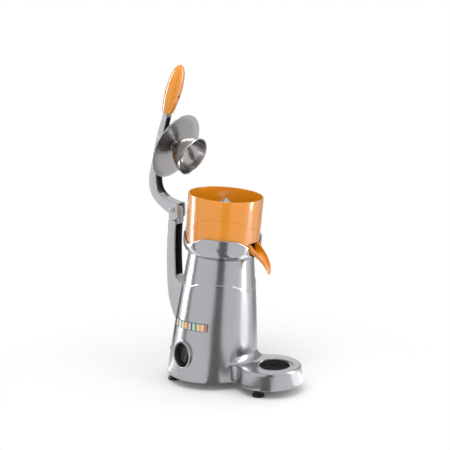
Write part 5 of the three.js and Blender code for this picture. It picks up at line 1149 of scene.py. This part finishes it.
def evenly(line, count):
    # the same line with its points at equal steps
    lengths = [0.0]
    for a, b in zip(line, line[1:]):
        lengths.append(lengths[-1] + math.dist(a, b))
    result, k = [], 0
    for target in spread(0, lengths[-1], count):
        while k < len(line) - 2 and lengths[k + 1] < target:
            k += 1
        span = lengths[k + 1] - lengths[k]
        share = min(max((target - lengths[k]) / span, 0), 1) if span else 0
        result.append(tuple(mix(a, b, share) for a, b in zip(line[k], line[k + 1])))
    return result


def armShape():
    drop, nose = arm["forkDrop"], arm["forkNose"]
    (heelOut, heelUp), (noseOut, noseDown), (browUp, browOut) = (
        arm[k] for k in ("heelShares", "noseShares", "browShares"))
    heel, brow = (drop * heelOut, -drop * heelUp), (-nose * browOut, nose)
    lowBack = evenly([(drop * heelOut, -drop), heel], arm["foot"])
    lowFront = evenly([(0, -drop), (-nose * noseOut, -drop * noseDown),
                       (-nose, -drop * arm["noseLowShare"] + arm["noseDrop"]), (-nose, nose * browUp), brow],
                      arm["foot"])
    upBack = evenly(along([heel] + armPoints(arm["backShares"]), arm["smooth"]), arm["rows"])
    upFront = evenly(along([brow] + armPoints(arm["frontShares"]), arm["smooth"]), arm["rows"])

    def tapered(x, y, z):
        return (x * armWidth(z) / arm["footWidth"], y, z)

    return capped([boxedRing(front, rear, arm["footWidth"] / 2, arm["round"], tapered)
                   for front, rear in zip(lowFront + upFront[1:], lowBack + upBack[1:])])


def hollowShape():
    def half(z):
        return (arm["footWidth"] / 2 - arm["wall"]) * armWidth(z) / arm["footWidth"]

    floorLine = evenly(along(armPoints(arm["hollowShares"]), arm["smooth"])[::-1], arm["hollowRows"])
    reach = arm["hollowReach"]
    rings = []
    for i, (y, z) in enumerate(floorLine):
        farZ = max(z, arm["hollowFrom"] + i * arm["hollowStep"])
        rings.append([(-half(z), y, z), (half(z), y, z),
                      (half(farZ), -reach, farZ), (-half(farZ), -reach, farZ)])
    return capped(rings)


def forkSlot():
    room, reach = arm["room"], arm["slotReach"]
    arc = [(room * math.cos(a), room * math.sin(a)) for a in spread(0, math.pi / 2, arm["slotSteps"])[1:]]
    outline = [(room, -reach), (room, 0)] + arc + [(-reach, room), (-reach, -reach)]
    return plate(outline, arm["footWidth"] - 2 * arm["cheek"])


press = {
    "disc": 410.0, "discRadius": 74.5, "discRim": 1.2, "rimSwell": 0.15, "sheet": 2.0, "dish": 3.0,
    "discShares": [(0.5, 0.14), (0.85, 0.45)],  # of the radius, and of the dish
    "rimShares": (0.95, 1.1, 0.5),  # of the dish, where the rim starts, turns and ends
    "gap": 0.3, "cupRadius": 43.3, "cupLength": 51.0, "cupWall": 2.3, "neck": 12.0, "neckRound": 0.8,
    "cupShares": [(0, 0.05), (0.26, 0.17), (0.58, 0.37), (0.86, 0.68), (1, 1)],  # of the flare, the length
    "mouthShares": [(0.15, 0.25), (0.55, 0.4), (0.95, 0.22)],  # of the wall, inward and down
    "insideShares": (1.1, 1.2),  # of the wall, inward and down
    "roofShares": (0.7, 1.9, 1.6),  # across in necks, then down in walls at the edge and the middle
    "columns": {"disc": 144, "cup": 120, "stem": 48}, "smooth": 8, "rimSteps": 5,
    "stem": 7.5, "stemSeat": 441.0, "collar": 12.5, "collarHeight": 9.0, "collarRound": 1.2, "cove": 2.4,
    "thread": 4.0, "nutSeat": 456.0, "threadProud": 6.0, "round": 0.6, "edge": 0.4,
}


def bossShape():
    radius, low, high = arm["boss"], press["stemSeat"], press["nutSeat"] - arm["bossSunk"]
    return revolved([(0, low), (radius - arm["bossRound"], low), (radius, low + arm["bossRound"]),
                     (radius, high), (0, high)], arm["bossColumns"])


leverArm = madeObject("leverArm", armShape(), onHinge)
leverArm = carved(leverArm, [hollowShape()], onHinge)
leverArm = carved(leverArm, [forkSlot()], onHinge)
leverArm = carved(leverArm, [bossShape()], onPress, "UNION")
leverArm = eased(leverArm, arm["edge"])
dressed(leverArm, castAluminium, "lever", ["lever_arm"])
print("column and lever made")


# Hinge bolt and its nut, stem, disc and cup

bolt = {
    "radius": 4.0, "head": 5.8, "headHeight": 2.6, "half": 15.05, "gap": 0.3,
    "headRound": 1.3, "headEdge": 0.3, "nutRound": 1.2, "nutEdge": 0.2, "endRound": 0.5,
    "socket": 2.6, "socketDepth": 1.6, "socketAbove": 3.0, "columns": 40,
}
onBolt = onHinge @ turned(90, "Y")
boltReach = bolt["half"] + bolt["headHeight"]


def boltShape():
    radius, rim, half = bolt["radius"], bolt["head"], bolt["half"]
    return revolved(softened([
        (0, -boltReach), (rim, -boltReach, 0, bolt["headRound"]), (rim, -half, 0, bolt["headEdge"]),
        (radius, -half), (radius, boltReach, 0, bolt["endRound"]), (0, boltReach)]), bolt["columns"])


def boltSocket():
    hexagon = [(bolt["socket"] * math.cos(a), bolt["socket"] * math.sin(a))
               for a in spread(0, 2 * math.pi, 6)[:-1]]
    return capped([[(x, y, z) for x, y in hexagon]
                   for z in (-boltReach - bolt["socketAbove"], -boltReach + bolt["socketDepth"])])


def nutShape():
    bore, rim, low = bolt["radius"] + bolt["gap"], bolt["head"], bolt["half"]
    return revolved(softened([
        (bore, low), (rim, low, 0, bolt["nutEdge"]), (rim, boltReach, 0, bolt["nutRound"]), (bore, boltReach),
        (bore, low)]), bolt["columns"])


hingeBolt = carved(madeObject("hingeBolt", boltShape(), onBolt), [boltSocket()], onBolt)
dressed(hingeBolt, mirrorSteel, "lever", ["hinge_pin"])
dressed(madeObject("hingeNut", nutShape(), onBolt), mirrorSteel, "lever", ["hinge_nut"])


def discShape():
    flat, radius, sheet, dish = press["disc"], press["discRadius"], press["sheet"], press["dish"]
    bore, inner = press["thread"] + press["gap"], radius - press["discRim"]
    start, turn, end = (flat - dish * share for share in press["rimShares"])
    foreRow = [(radius * r, flat - dish * d, 0) for r, d in press["discShares"]]
    backRow = [(radius * r, flat + sheet - dish * d, 0) for r, d in reversed(press["discShares"])]
    fore = along([(bore, flat, 0)] + foreRow + [(inner, start, 0)], press["smooth"])
    rim = bend((inner, start), (radius + press["rimSwell"], turn), (radius, end), press["rimSteps"])[1:]
    behind = along([(radius, end, 0)] + backRow + [(bore, flat + sheet, 0)], press["smooth"])[1:]
    return revolved(fore + [(*p, 0) for p in rim] + behind + [(bore, flat, 0)], press["columns"]["disc"])


def cupShape():
    neck, small, wall, length = (press[k] for k in ("neck", "neckRound", "cupWall", "cupLength"))
    radius, flare = press["cupRadius"], press["cupRadius"] - neck
    start = press["disc"] - press["gap"]
    end = start - length
    smooth = press["smooth"]
    outer = along([(neck + flare * r, start - length * d) for r, d in press["cupShares"]], smooth)
    inward, deeper = press["insideShares"]
    inner = along([(neck + flare * r - wall * inward, start - length * d - wall * (1 - d) * deeper)
                   for r, d in press["cupShares"][1:]], smooth)
    inner[-1] = (inner[-1][0], end)
    mouth = [(radius - wall * i, end - wall * d) for i, d in press["mouthShares"]]
    across, low, high = press["roofShares"]
    roof = bend(inner[0], (neck * across, start - wall * low), (0, start - wall * high), smooth)[1:]
    top = [(0, start), (neck - small, start), (neck, start - small)]
    return revolved(top + outer + mouth + inner[::-1] + roof, press["columns"]["cup"])


def stemShape():
    foot = press["disc"] + press["sheet"] + press["gap"]
    shoulder, seat = foot + press["collarHeight"], press["stemSeat"] - press["gap"]
    end = press["nutSeat"] + press["threadProud"]
    return revolved(softened([
        (0, foot), (press["collar"], foot, 0, press["round"]),
        (press["collar"], foot + press["collarHeight"] * 0.5, 0, press["collarRound"]),
        (press["stem"], shoulder, 0, press["cove"]), (press["stem"], seat, 0, press["edge"]),
        (press["thread"], seat), (press["thread"], end - press["edge"], 0, bolt["endRound"]), (0, end)]),
        press["columns"]["stem"])


for name, shape, finish, replaced, sharp in (
        ("splashDisc", discShape(), brushedSteel, "splash_disc", 40),
        ("pressCup", cupShape(), brushedSteel, "press_cup", 40),
        ("pressStem", stemShape(), plainSteel, "press_stem", 32)):
    dressed(madeObject(name, shape, onPress, sharp), finish, "lever", [replaced])


# Grip with its screw

grip = {
    "length": 109.6, "radius": 17.4, "tilt": 21.2, "swayShare": 0.285, "riseShare": 0.992,
    "footRound": (0.9, 0.2, 0.3),  # inward below, inward above, up
    "shares": [(0.62, 0.008), (0.75, 0.06), (0.92, 0.24), (1, 0.45), (0.95, 0.65), (0.81, 0.81), (0.58, 0.92),
               (0.28, 0.985)],  # of the radius, and of the length
    "sharp": 50, "smooth": 8, "endShare": 0.9995, "columns": 72, "screwColumns": 32, "screwShare": 0.4,
    "faceShare": 0.99,
    "pocket": 4.9, "pocketAbove": 20.0, "gap": 0.3,
    "screw": 1.8, "screwLength": 12.0, "screwHead": 3.4, "headHeight": 2.1, "headRound": 0.9, "sunk": 2.5,
    "cross": (2.3, 0.4), "crossDepth": 1.2, "crossAbove": 2.0,
}
gripPlace = (0, arm["sway"] * grip["swayShare"], arm["rise"] * grip["riseShare"])
onGrip = onHinge @ shifted(*gripPlace) @ turned(grip["tilt"], "X")
onScrew = onGrip @ shifted(0, 0, grip["length"] * grip["screwShare"]) @ turned(90, "X")
gripFace = grip["radius"] * grip["faceShare"]
screwTop = gripFace - grip["sunk"]


def gripShape():
    radius, length = grip["radius"], grip["length"]
    egg = along([(radius * r, length * h) for r, h in grip["shares"]] + [(0, length)], grip["smooth"])
    egg[-2] = (egg[-2][0], length * grip["endShare"])  # a blunt end, so that the pole closes smoothly
    flat, edge, rise = grip["footRound"]
    return revolved([(0, 0), (egg[0][0] - flat, 0), (egg[0][0] - edge, rise)] + egg, grip["columns"])


def pocketShape():
    bore = grip["screwHead"] + grip["gap"]
    low, high = gripFace - grip["pocket"], gripFace + grip["pocketAbove"]
    return revolved([(0, low), (bore, low), (bore, high), (0, high)], grip["screwColumns"])


def screwShape():
    low, under = screwTop - grip["screwLength"], screwTop - grip["headHeight"]
    return revolved(softened([
        (0, low), (grip["screw"], low), (grip["screw"], under), (grip["screwHead"], under),
        (grip["screwHead"], screwTop, 0, grip["headRound"]), (0, screwTop)]), grip["screwColumns"])


def crossShapes():
    levels = (screwTop - grip["crossDepth"], screwTop + grip["crossAbove"])
    return [capped([[(x, y, z) for x, y in ((-a, -b), (a, -b), (a, b), (-a, b))] for z in levels])
            for a, b in (grip["cross"], grip["cross"][::-1])]


gripPiece = madeObject("grip", gripShape(), onGrip, grip["sharp"])
gripPiece = carved(gripPiece, [pocketShape()], onScrew, sharp=grip["sharp"])
dressed(gripPiece, orangeGloss, "lever", ["grip"])
gripScrew = carved(madeObject("gripScrew", screwShape(), onScrew), crossShapes(), onScrew)
dressed(gripScrew, plainSteel, "lever", ["grip_screw"])
print("press pieces made")


# Pieces whose parts repeat, made with Geometry Nodes

class Pattern(Sheet):
    def __init__(self, name, sizes):
        self.sizes = sizes
        tree = bpy.data.node_groups.new(name, "GeometryNodeTree")
        super().__init__(tree)
        tree.interface.new_socket(name="Geometry", in_out="INPUT", socket_type="NodeSocketGeometry")
        self.keys = {}
        for key, value in sizes.items():
            kind = "NodeSocketInt" if isinstance(value, int) else "NodeSocketFloat"
            self.keys[key] = tree.interface.new_socket(name=key, in_out="INPUT", socket_type=kind).identifier
        tree.interface.new_socket(name="Geometry", in_out="OUTPUT", socket_type="NodeSocketGeometry")
        self.source = tree.nodes.new("NodeGroupInput")

    def size(self, key):
        return Wire(self, self.source.outputs[key])

    def start(self):
        return Wire(self, self.source.outputs["Geometry"])

    def vector(self, x, y, z):
        return self.node("ShaderNodeCombineXYZ", {}, {0: x, 1: y, 2: z})

    def bar(self, length, width, height, z):
        cube = self.node("GeometryNodeMeshCube", {}, {"Size": self.vector(length, width, height)})
        return self.node("GeometryNodeTransform", {}, {0: cube, "Translation": self.vector(0.0, 0.0, z)})

    def roundCopies(self, instance, radius, count):
        # copies on a circle, each turned to face outwards
        circle = self.node("GeometryNodeMeshCircle", {}, {"Vertices": count, "Radius": radius})
        turn = self.node("GeometryNodeInputIndex") * (2 * math.pi) / count
        return self.node("GeometryNodeInstanceOnPoints", {}, {
            "Points": circle, "Instance": instance, "Rotation": self.vector(0.0, 0.0, turn)})

    def together(self, *parts):
        joined = self.tree.nodes.new("GeometryNodeJoinGeometry")
        for part in reversed(parts):
            self.tree.links.new(part.socket, joined.inputs[0])
        return Wire(self, joined.outputs[0])

    def run(self, geometry, made, finish, place, sharp=32):
        whole = self.node("GeometryNodeRealizeInstances", {}, {0: geometry})
        painted = self.node("GeometryNodeSetMaterial", {}, {0: whole, "Material": finish})
        self.node("NodeGroupOutput", {}, {0: painted})
        step = made.modifiers.new("pattern", "NODES")
        step.node_group = self.tree
        for key, identifier in self.keys.items():
            step[identifier] = self.sizes[key]
        settled(made, sharp)
        made.data.transform(place)
        made.data.update()


# Strainer: a dished sheet with radial slots

strainer = {
    "bore": 27.0, "floor": 321.0, "floorRadius": 62.0, "side": 71.8, "rim": 77.0, "rimTop": 338.5,
    "sheet": 1.2, "floorRound": 3.0, "rimRound": 2.0, "columns": 96,
    "slots": {"count": 40, "length": 24.0, "width": 2.2, "middle": 44.5, "floor": 321.0, "through": 12.0},
}


def strainerSheet():
    bore, floor, wide, side = (strainer[k] for k in ("bore", "floor", "floorRadius", "side"))
    rim, top, sheet = strainer["rim"], strainer["rimTop"], strainer["sheet"]
    small, large = strainer["rimRound"], strainer["floorRound"]
    return revolved(softened([
        (bore, floor), (wide, floor, 0, large), (side, top - sheet, 0, small), (rim, top - sheet), (rim, top),
        (side - sheet, top, 0, small), (wide - sheet, floor + sheet, 0, large), (bore, floor + sheet),
        (bore, floor)]), strainer["columns"])


def cutSlots(made):
    pattern = Pattern("strainerSlots", strainer["slots"])
    size = pattern.size
    cutter = pattern.bar(size("length"), size("width"), size("through"), size("floor"))
    cutters = pattern.node("GeometryNodeRealizeInstances", {}, {
        0: pattern.roundCopies(cutter, size("middle"), size("count"))})
    cut = pattern.node("GeometryNodeMeshBoolean", {"operation": "DIFFERENCE", "solver": "EXACT"}, {
        "Mesh 1": pattern.start(), "Mesh 2": cutters})
    pattern.run(cut, made, mirrorSteel, onSpindle)


strainerPiece = madeObject("strainer", strainerSheet(), Matrix.Identity(4))
cutSlots(strainerPiece)
dressed(strainerPiece, mirrorSteel, "base", ["strainer"])


# Reamer: a dome whose ribs fade in above its foot

reamer = {
    "around": 216, "up": 60, "foot": 328.0, "tip": 404.0, "radius": 36.0, "crest": 1.05, "ribs": 9,
    "depth": 0.13, "sharpness": 0.7, "fadeFrom": 0.05, "fadeTo": 0.2,
}
reamerShares = [(0, 0.0), (0.02, 0.98), (0.045, 1.0), (0.08, 0.955), (0.16, 0.925), (0.32, 0.9), (0.57, 0.77),
                (0.78, 0.515), (0.9, 0.27), (0.96, 0.12), (1.0, 0.0)]  # up the height, and of the radius


def ribbedDome(made):
    pattern = Pattern("reamerRibs", reamer)
    size = pattern.size
    grid = pattern.node("GeometryNodeMeshGrid", {}, {
        "Size X": 1.0, "Size Y": 1.0, "Vertices X": size("around"), "Vertices Y": size("up")})
    where = pattern.node("GeometryNodeInputPosition")
    across = pattern.node("ShaderNodeSeparateXYZ", {}, {0: where}, "X") + 0.5
    up = pattern.node("ShaderNodeSeparateXYZ", {}, {0: where}, "Y") + 0.5
    share = pattern.node("ShaderNodeFloatCurve", {"curve": reamerShares}, {"Value": up})
    angle = across * (2 * math.pi)
    groove = (1.0 - (angle * size("ribs")).only("COSINE")) * 0.5
    fade = pattern.node("ShaderNodeMapRange", {"interpolation_type": "SMOOTHSTEP"}, {
        "Value": up, "From Min": size("fadeFrom"), "From Max": size("fadeTo")})
    cut = groove ** size("sharpness") * size("depth") * fade
    radius = size("radius") * size("crest") * share * (1.0 - cut)
    height = size("foot") + up * (size("tip") - size("foot"))
    place = pattern.vector(radius * angle.only("SINE"), radius * angle.only("COSINE") * -1.0, height)
    dome = pattern.node("GeometryNodeSetPosition", {}, {0: grid, "Position": place})
    pattern.run(dome, made, mirrorSteel, Matrix.Identity(4), sharp=60)
    made.data.transform(onSpindle)
    cleaned(made.data, sharp=60)  # closes the seam and the two poles


reamerPiece = linked("reamer", bpy.data.meshes.new("reamer"))
ribbedDome(reamerPiece)
dressed(reamerPiece, mirrorSteel, "spindle", ["reamer"])


# Mat in the tray: a rimmed disc with ribs

mat = {
    "seat": 52.3, "edge": 0.6, "round": 0.3, "rimDraft": 0.8, "columns": 72,
    "sizes": {"radius": 32.0, "thickness": 3.4, "rim": 3.0, "ribs": 6, "ribHeight": 0.9, "ribWidth": 2.2,
              "gap": 1.0},
}


def matDisc():
    radius, top, rim, ribHeight = (mat["sizes"][k] for k in ("radius", "thickness", "rim", "ribHeight"))
    inside, low, small = radius - rim, top - ribHeight, mat["round"]
    return revolved(softened([
        (0, 0), (radius, 0), (radius, top, 0, mat["edge"]), (inside, top, 0, small),
        (inside - mat["rimDraft"], low, 0, small), (0, low)]), mat["columns"])


def ribbed(made):
    pattern = Pattern("matRibs", mat["sizes"])
    size = pattern.size
    inside = size("radius") - size("rim")
    rib = pattern.bar(inside - size("gap"), size("ribWidth"), size("ribHeight") * 2.0,
                      size("thickness") - size("ribHeight"))
    ring = pattern.roundCopies(rib, inside * 0.5, size("ribs"))
    pattern.run(pattern.together(pattern.start(), ring), made, mattRubber,
                onTable @ shifted(0, -tray["recessReach"], mat["seat"]), sharp=30)


matPiece = madeObject("trayMat", matDisc(), Matrix.Identity(4))
ribbed(matPiece)
dressed(matPiece, mattRubber, "base", ["tray_mat"])


# Feet and their screws at the four corners

foot = {
    "spread": [50.0, 58.0], "back": [-153.0, 60.0], "radius": 13.0, "lip": 4.0, "neck": 7.5, "height": 16.7,
    "bore": 2.6, "pocket": 5.6, "seat": 7.0, "draft": 0.4, "shoulder": (9.5, 8.0),
    "edge": 0.4, "soleRound": 0.6, "lipRound": 0.8, "shoulderRound": 1.0, "columns": 48,
}
footScrew = {
    "slot": 2.2, "under": 4.6, "crown": (5.0, 3.9), "head": 5.3, "seat": 6.7, "radius": 2.3, "end": 43.0,
    "chamfer": 1.0, "edge": 0.4, "crownRound": 0.6, "columns": 24,
}
corners = [(side * wide, y, 0.0) for wide, y in zip(foot["spread"], foot["back"]) for side in (1, -1)]


def footProfile():
    bore, seat, pocket = foot["bore"], foot["seat"], foot["pocket"]
    return [(bore, seat), (pocket, seat), (pocket, 0, 0, foot["edge"]),
            (foot["radius"] - foot["draft"], 0, 0, foot["soleRound"]),
            (foot["radius"], foot["lip"], 0, foot["lipRound"]), (*foot["shoulder"], 0, foot["shoulderRound"]),
            (foot["neck"], foot["height"]), (bore, foot["height"]), (bore, seat)]


def screwProfile():
    radius, head, seat, end = (footScrew[k] for k in ("radius", "head", "seat", "end"))
    return [(0, footScrew["under"]), (footScrew["slot"], footScrew["under"], 0, footScrew["edge"]),
            (*footScrew["crown"], 0, footScrew["crownRound"]), (head, seat), (radius, seat),
            (radius, end - footScrew["chamfer"]), (0, end)]


def fourOf(name, profile, finish, replaced, steps):
    marks = madeObject(name, (corners, []), Matrix.Identity(4))
    single = madeObject(name + "Single", revolved(softened(profile), steps), Matrix.Identity(4))
    pattern = Pattern(name, {})
    shape = pattern.node("GeometryNodeObjectInfo", {"transform_space": "ORIGINAL"}, {
        "Object": single}, "Geometry")
    copies = pattern.node("GeometryNodeInstanceOnPoints", {}, {"Points": pattern.start(), "Instance": shape})
    pattern.run(copies, marks, finish, onTable)
    bpy.data.objects.remove(single)
    dressed(marks, finish, "base", [f"{replaced}_{corner}" for corner in (
        "front_right", "front_left", "rear_right", "rear_left")])


fourOf("feet", footProfile(), rubber, "foot", foot["columns"])
fourOf("footScrews", screwProfile(), plainSteel, "foot_screw", footScrew["columns"])
print("repeated pieces made")


# Studio

studio = {
    "floorHalf": 2.0, "floorTone": 0.93, "fadeFrom": 0.18, "fadeTo": 0.62, "worldForDiffuse": 0.8,
    "cameraPlace": (-1.6786, -1.1873, 0.7150), "cameraLook": (0.8122, 0.5549, -0.1802), "cameraRoll": -0.71,
    "lens": 78.03, "sensor": 36.0, "aimHeight": 0.3, "trayLift": 0.0006, "cardHeight": 0.5,
}
pressMiddle = Vector((0.0, layout["spindleBack"] * millimetre, 0.0))
onTray = (0.0, -tray["reach"] * millimetre, studio["trayLift"])  # the tray's middle, from the press's

# Azimuths are counted from the camera towards its right
softboxes = {
    "rightBox": {"azimuth": 55, "distance": 1.5, "height": 1.0, "width": 0.8, "tall": 1.2, "power": 5.5},
    "topBox": {"azimuth": -20, "distance": 0.9, "height": 1.9, "width": 1.0, "tall": 1.0, "power": 12},
}
# Cards stand round the press, and patches lie on the table; both show in reflections alone
reflections = {
    "cameraFlag": {"azimuth": 2, "distance": 2.6, "width": 1.1, "tall": 2.8, "tone": 0.12},
    "cameraShade": {"azimuth": 2, "halfAngle": 11, "near": 0.05, "far": 2.5, "tone": 0.22},
    "rightStrip": {"azimuth": 82, "distance": 1.5, "width": 0.28, "tall": 1.7, "tone": 12.0, "height": 0.7},
    "rightGlow": {"azimuth": 82, "halfAngle": 6, "near": 0.05, "far": 1.5, "tone": 3.0},
    "leftStrip": {"azimuth": -110, "distance": 1.4, "width": 0.26, "tall": 1.6, "tone": 12.0, "height": 0.7},
    "leftGlow": {"azimuth": -110, "halfAngle": 6, "near": 0.14, "far": 1.4, "tone": 2.0},
    "trayShade": {"azimuth": -12, "halfAngle": 13, "near": 0.08, "far": 0.9, "tone": 0.2, "beside": onTray},
    "trayGlow": {"azimuth": 88, "halfAngle": 17, "near": 0.08, "far": 0.9, "tone": 1.9, "beside": onTray},
    "leftEdge": {"azimuth": -90, "distance": 1.6, "width": 0.26, "tall": 2.0, "tone": 0.15},
    "leftFlag": {"azimuth": -150, "distance": 1.9, "width": 1.0, "tall": 2.4, "tone": 0.12},
    "rightFlag": {"azimuth": 140, "distance": 1.9, "width": 1.3, "tall": 2.4, "tone": 0.45},
}


def studioPoint(azimuth, distance, height):
    look = Vector(studio["cameraLook"])
    toCamera = Vector((-look.x, -look.y, 0)).normalized()
    toCamera.rotate(Matrix.Rotation(math.radians(azimuth), 3, "Z"))
    return pressMiddle + toCamera * distance + Vector((0, 0, height))


def flatPiece(name, corners, finish):
    made = linked(name, bpy.data.meshes.new(name))
    made.data.from_pydata(corners, [], [(0, 1, 2, 3)])
    made.data.materials.append(finish.material)
    return made


def floorPiece():
    # paper that fades out, so that only its shadow stays
    half = studio["floorHalf"]
    finish = Finish("floorPaper")
    length = finish.node("ShaderNodeVectorMath", {"operation": "LENGTH"}, {0: finish.object}, "Value")
    fade = finish.node("ShaderNodeMapRange", {"interpolation_type": "SMOOTHSTEP"}, {
        "Value": length, "From Min": studio["fadeFrom"], "From Max": studio["fadeTo"]})
    paper = finish.node("ShaderNodeBsdfDiffuse", {}, {"Color": (*[studio["floorTone"]] * 3, 1)})
    clear = finish.node("ShaderNodeBsdfTransparent")
    surface = finish.node("ShaderNodeMixShader", {}, {0: fade, 1: paper, 2: clear})
    finish.node("ShaderNodeOutputMaterial", {}, {"Surface": surface})
    flatPiece("floor", [(-half, -half, 0), (half, -half, 0), (half, half, 0), (-half, half, 0)], finish)


def softbox(name, azimuth, distance, height, width, tall, power):
    # lights the matt surfaces, and shows in no mirror
    data = bpy.data.lights.new(name, "AREA")
    data.shape, data.size, data.size_y, data.energy = "RECTANGLE", width, tall, power
    made = linked(name, data)
    made.location = studioPoint(azimuth, distance, height)
    aim = (pressMiddle + Vector((0, 0, studio["aimHeight"]))) - made.location
    made.rotation_euler = aim.to_track_quat("-Z", "Y").to_euler()
    made.visible_camera = made.visible_glossy = False


def reflected(name, corners, tone):
    finish = Finish(name)
    shade = finish.node("ShaderNodeEmission", {}, {"Color": (1, 1, 1, 1), "Strength": tone})
    finish.node("ShaderNodeOutputMaterial", {}, {"Surface": shade})
    made = flatPiece(name, corners, finish)
    made.visible_camera = made.visible_diffuse = made.visible_shadow = False


def card(name, azimuth, distance, width, tall, tone, height=studio["cardHeight"]):
    centre = studioPoint(azimuth, distance, height)
    across = (centre - pressMiddle).cross(Vector((0, 0, 1))).normalized() * width / 2
    up = Vector((0, 0, tall / 2))
    reflected(name, [centre - across - up, centre + across - up,
                     centre + across + up, centre - across + up], tone)


def patch(name, azimuth, halfAngle, near, far, tone, beside=(0, 0, 0)):
    # the light or shade that a card would leave on the table
    places = ((-1, near), (1, near), (1, far), (-1, far))
    reflected(name, [studioPoint(azimuth + side * halfAngle, away, millimetre) + Vector(beside)
                     for side, away in places], tone)


def world():
    made = bpy.data.worlds.new("studio")
    bpy.context.scene.world = made
    made.use_nodes = True
    sheet = Sheet(made.node_tree)
    seen, glossy, through = (sheet.node("ShaderNodeLightPath", output=f"Is {kind} Ray")
                             for kind in ("Camera", "Glossy", "Transmission"))
    share = sheet.node("ShaderNodeMath", {"operation": "ADD", "use_clamp": True}, {
        0: seen + glossy, 1: through})
    dim = studio["worldForDiffuse"]
    strength = share * (1.0 - dim) + dim
    back = sheet.node("ShaderNodeBackground", {}, {"Color": (1, 1, 1, 1), "Strength": strength})
    sheet.node("ShaderNodeOutputWorld", {}, {"Surface": back})


def camera():
    data = bpy.data.cameras.new("camera")
    data.lens, data.sensor_width = studio["lens"], studio["sensor"]
    look = Vector(studio["cameraLook"]).normalized()
    right = look.cross(Vector((0, 0, 1))).normalized()
    up = right.cross(look)
    roll = math.radians(studio["cameraRoll"])
    right, up = right * math.cos(roll) + up * math.sin(roll), up * math.cos(roll) - right * math.sin(roll)
    turn = Matrix((right, up, -look)).transposed().to_4x4()
    made = linked("camera", data)
    made.matrix_world = Matrix.Translation(Vector(studio["cameraPlace"]) + pressMiddle) @ turn
    bpy.context.scene.camera = made


floorPiece()
for name, settings in softboxes.items():
    softbox(name, **settings)
for name, settings in reflections.items():
    makes = card if "distance" in settings else patch
    makes(name, **settings)
world()
camera()
bpy.context.scene.view_settings.view_transform = "Standard"
print("studio made")
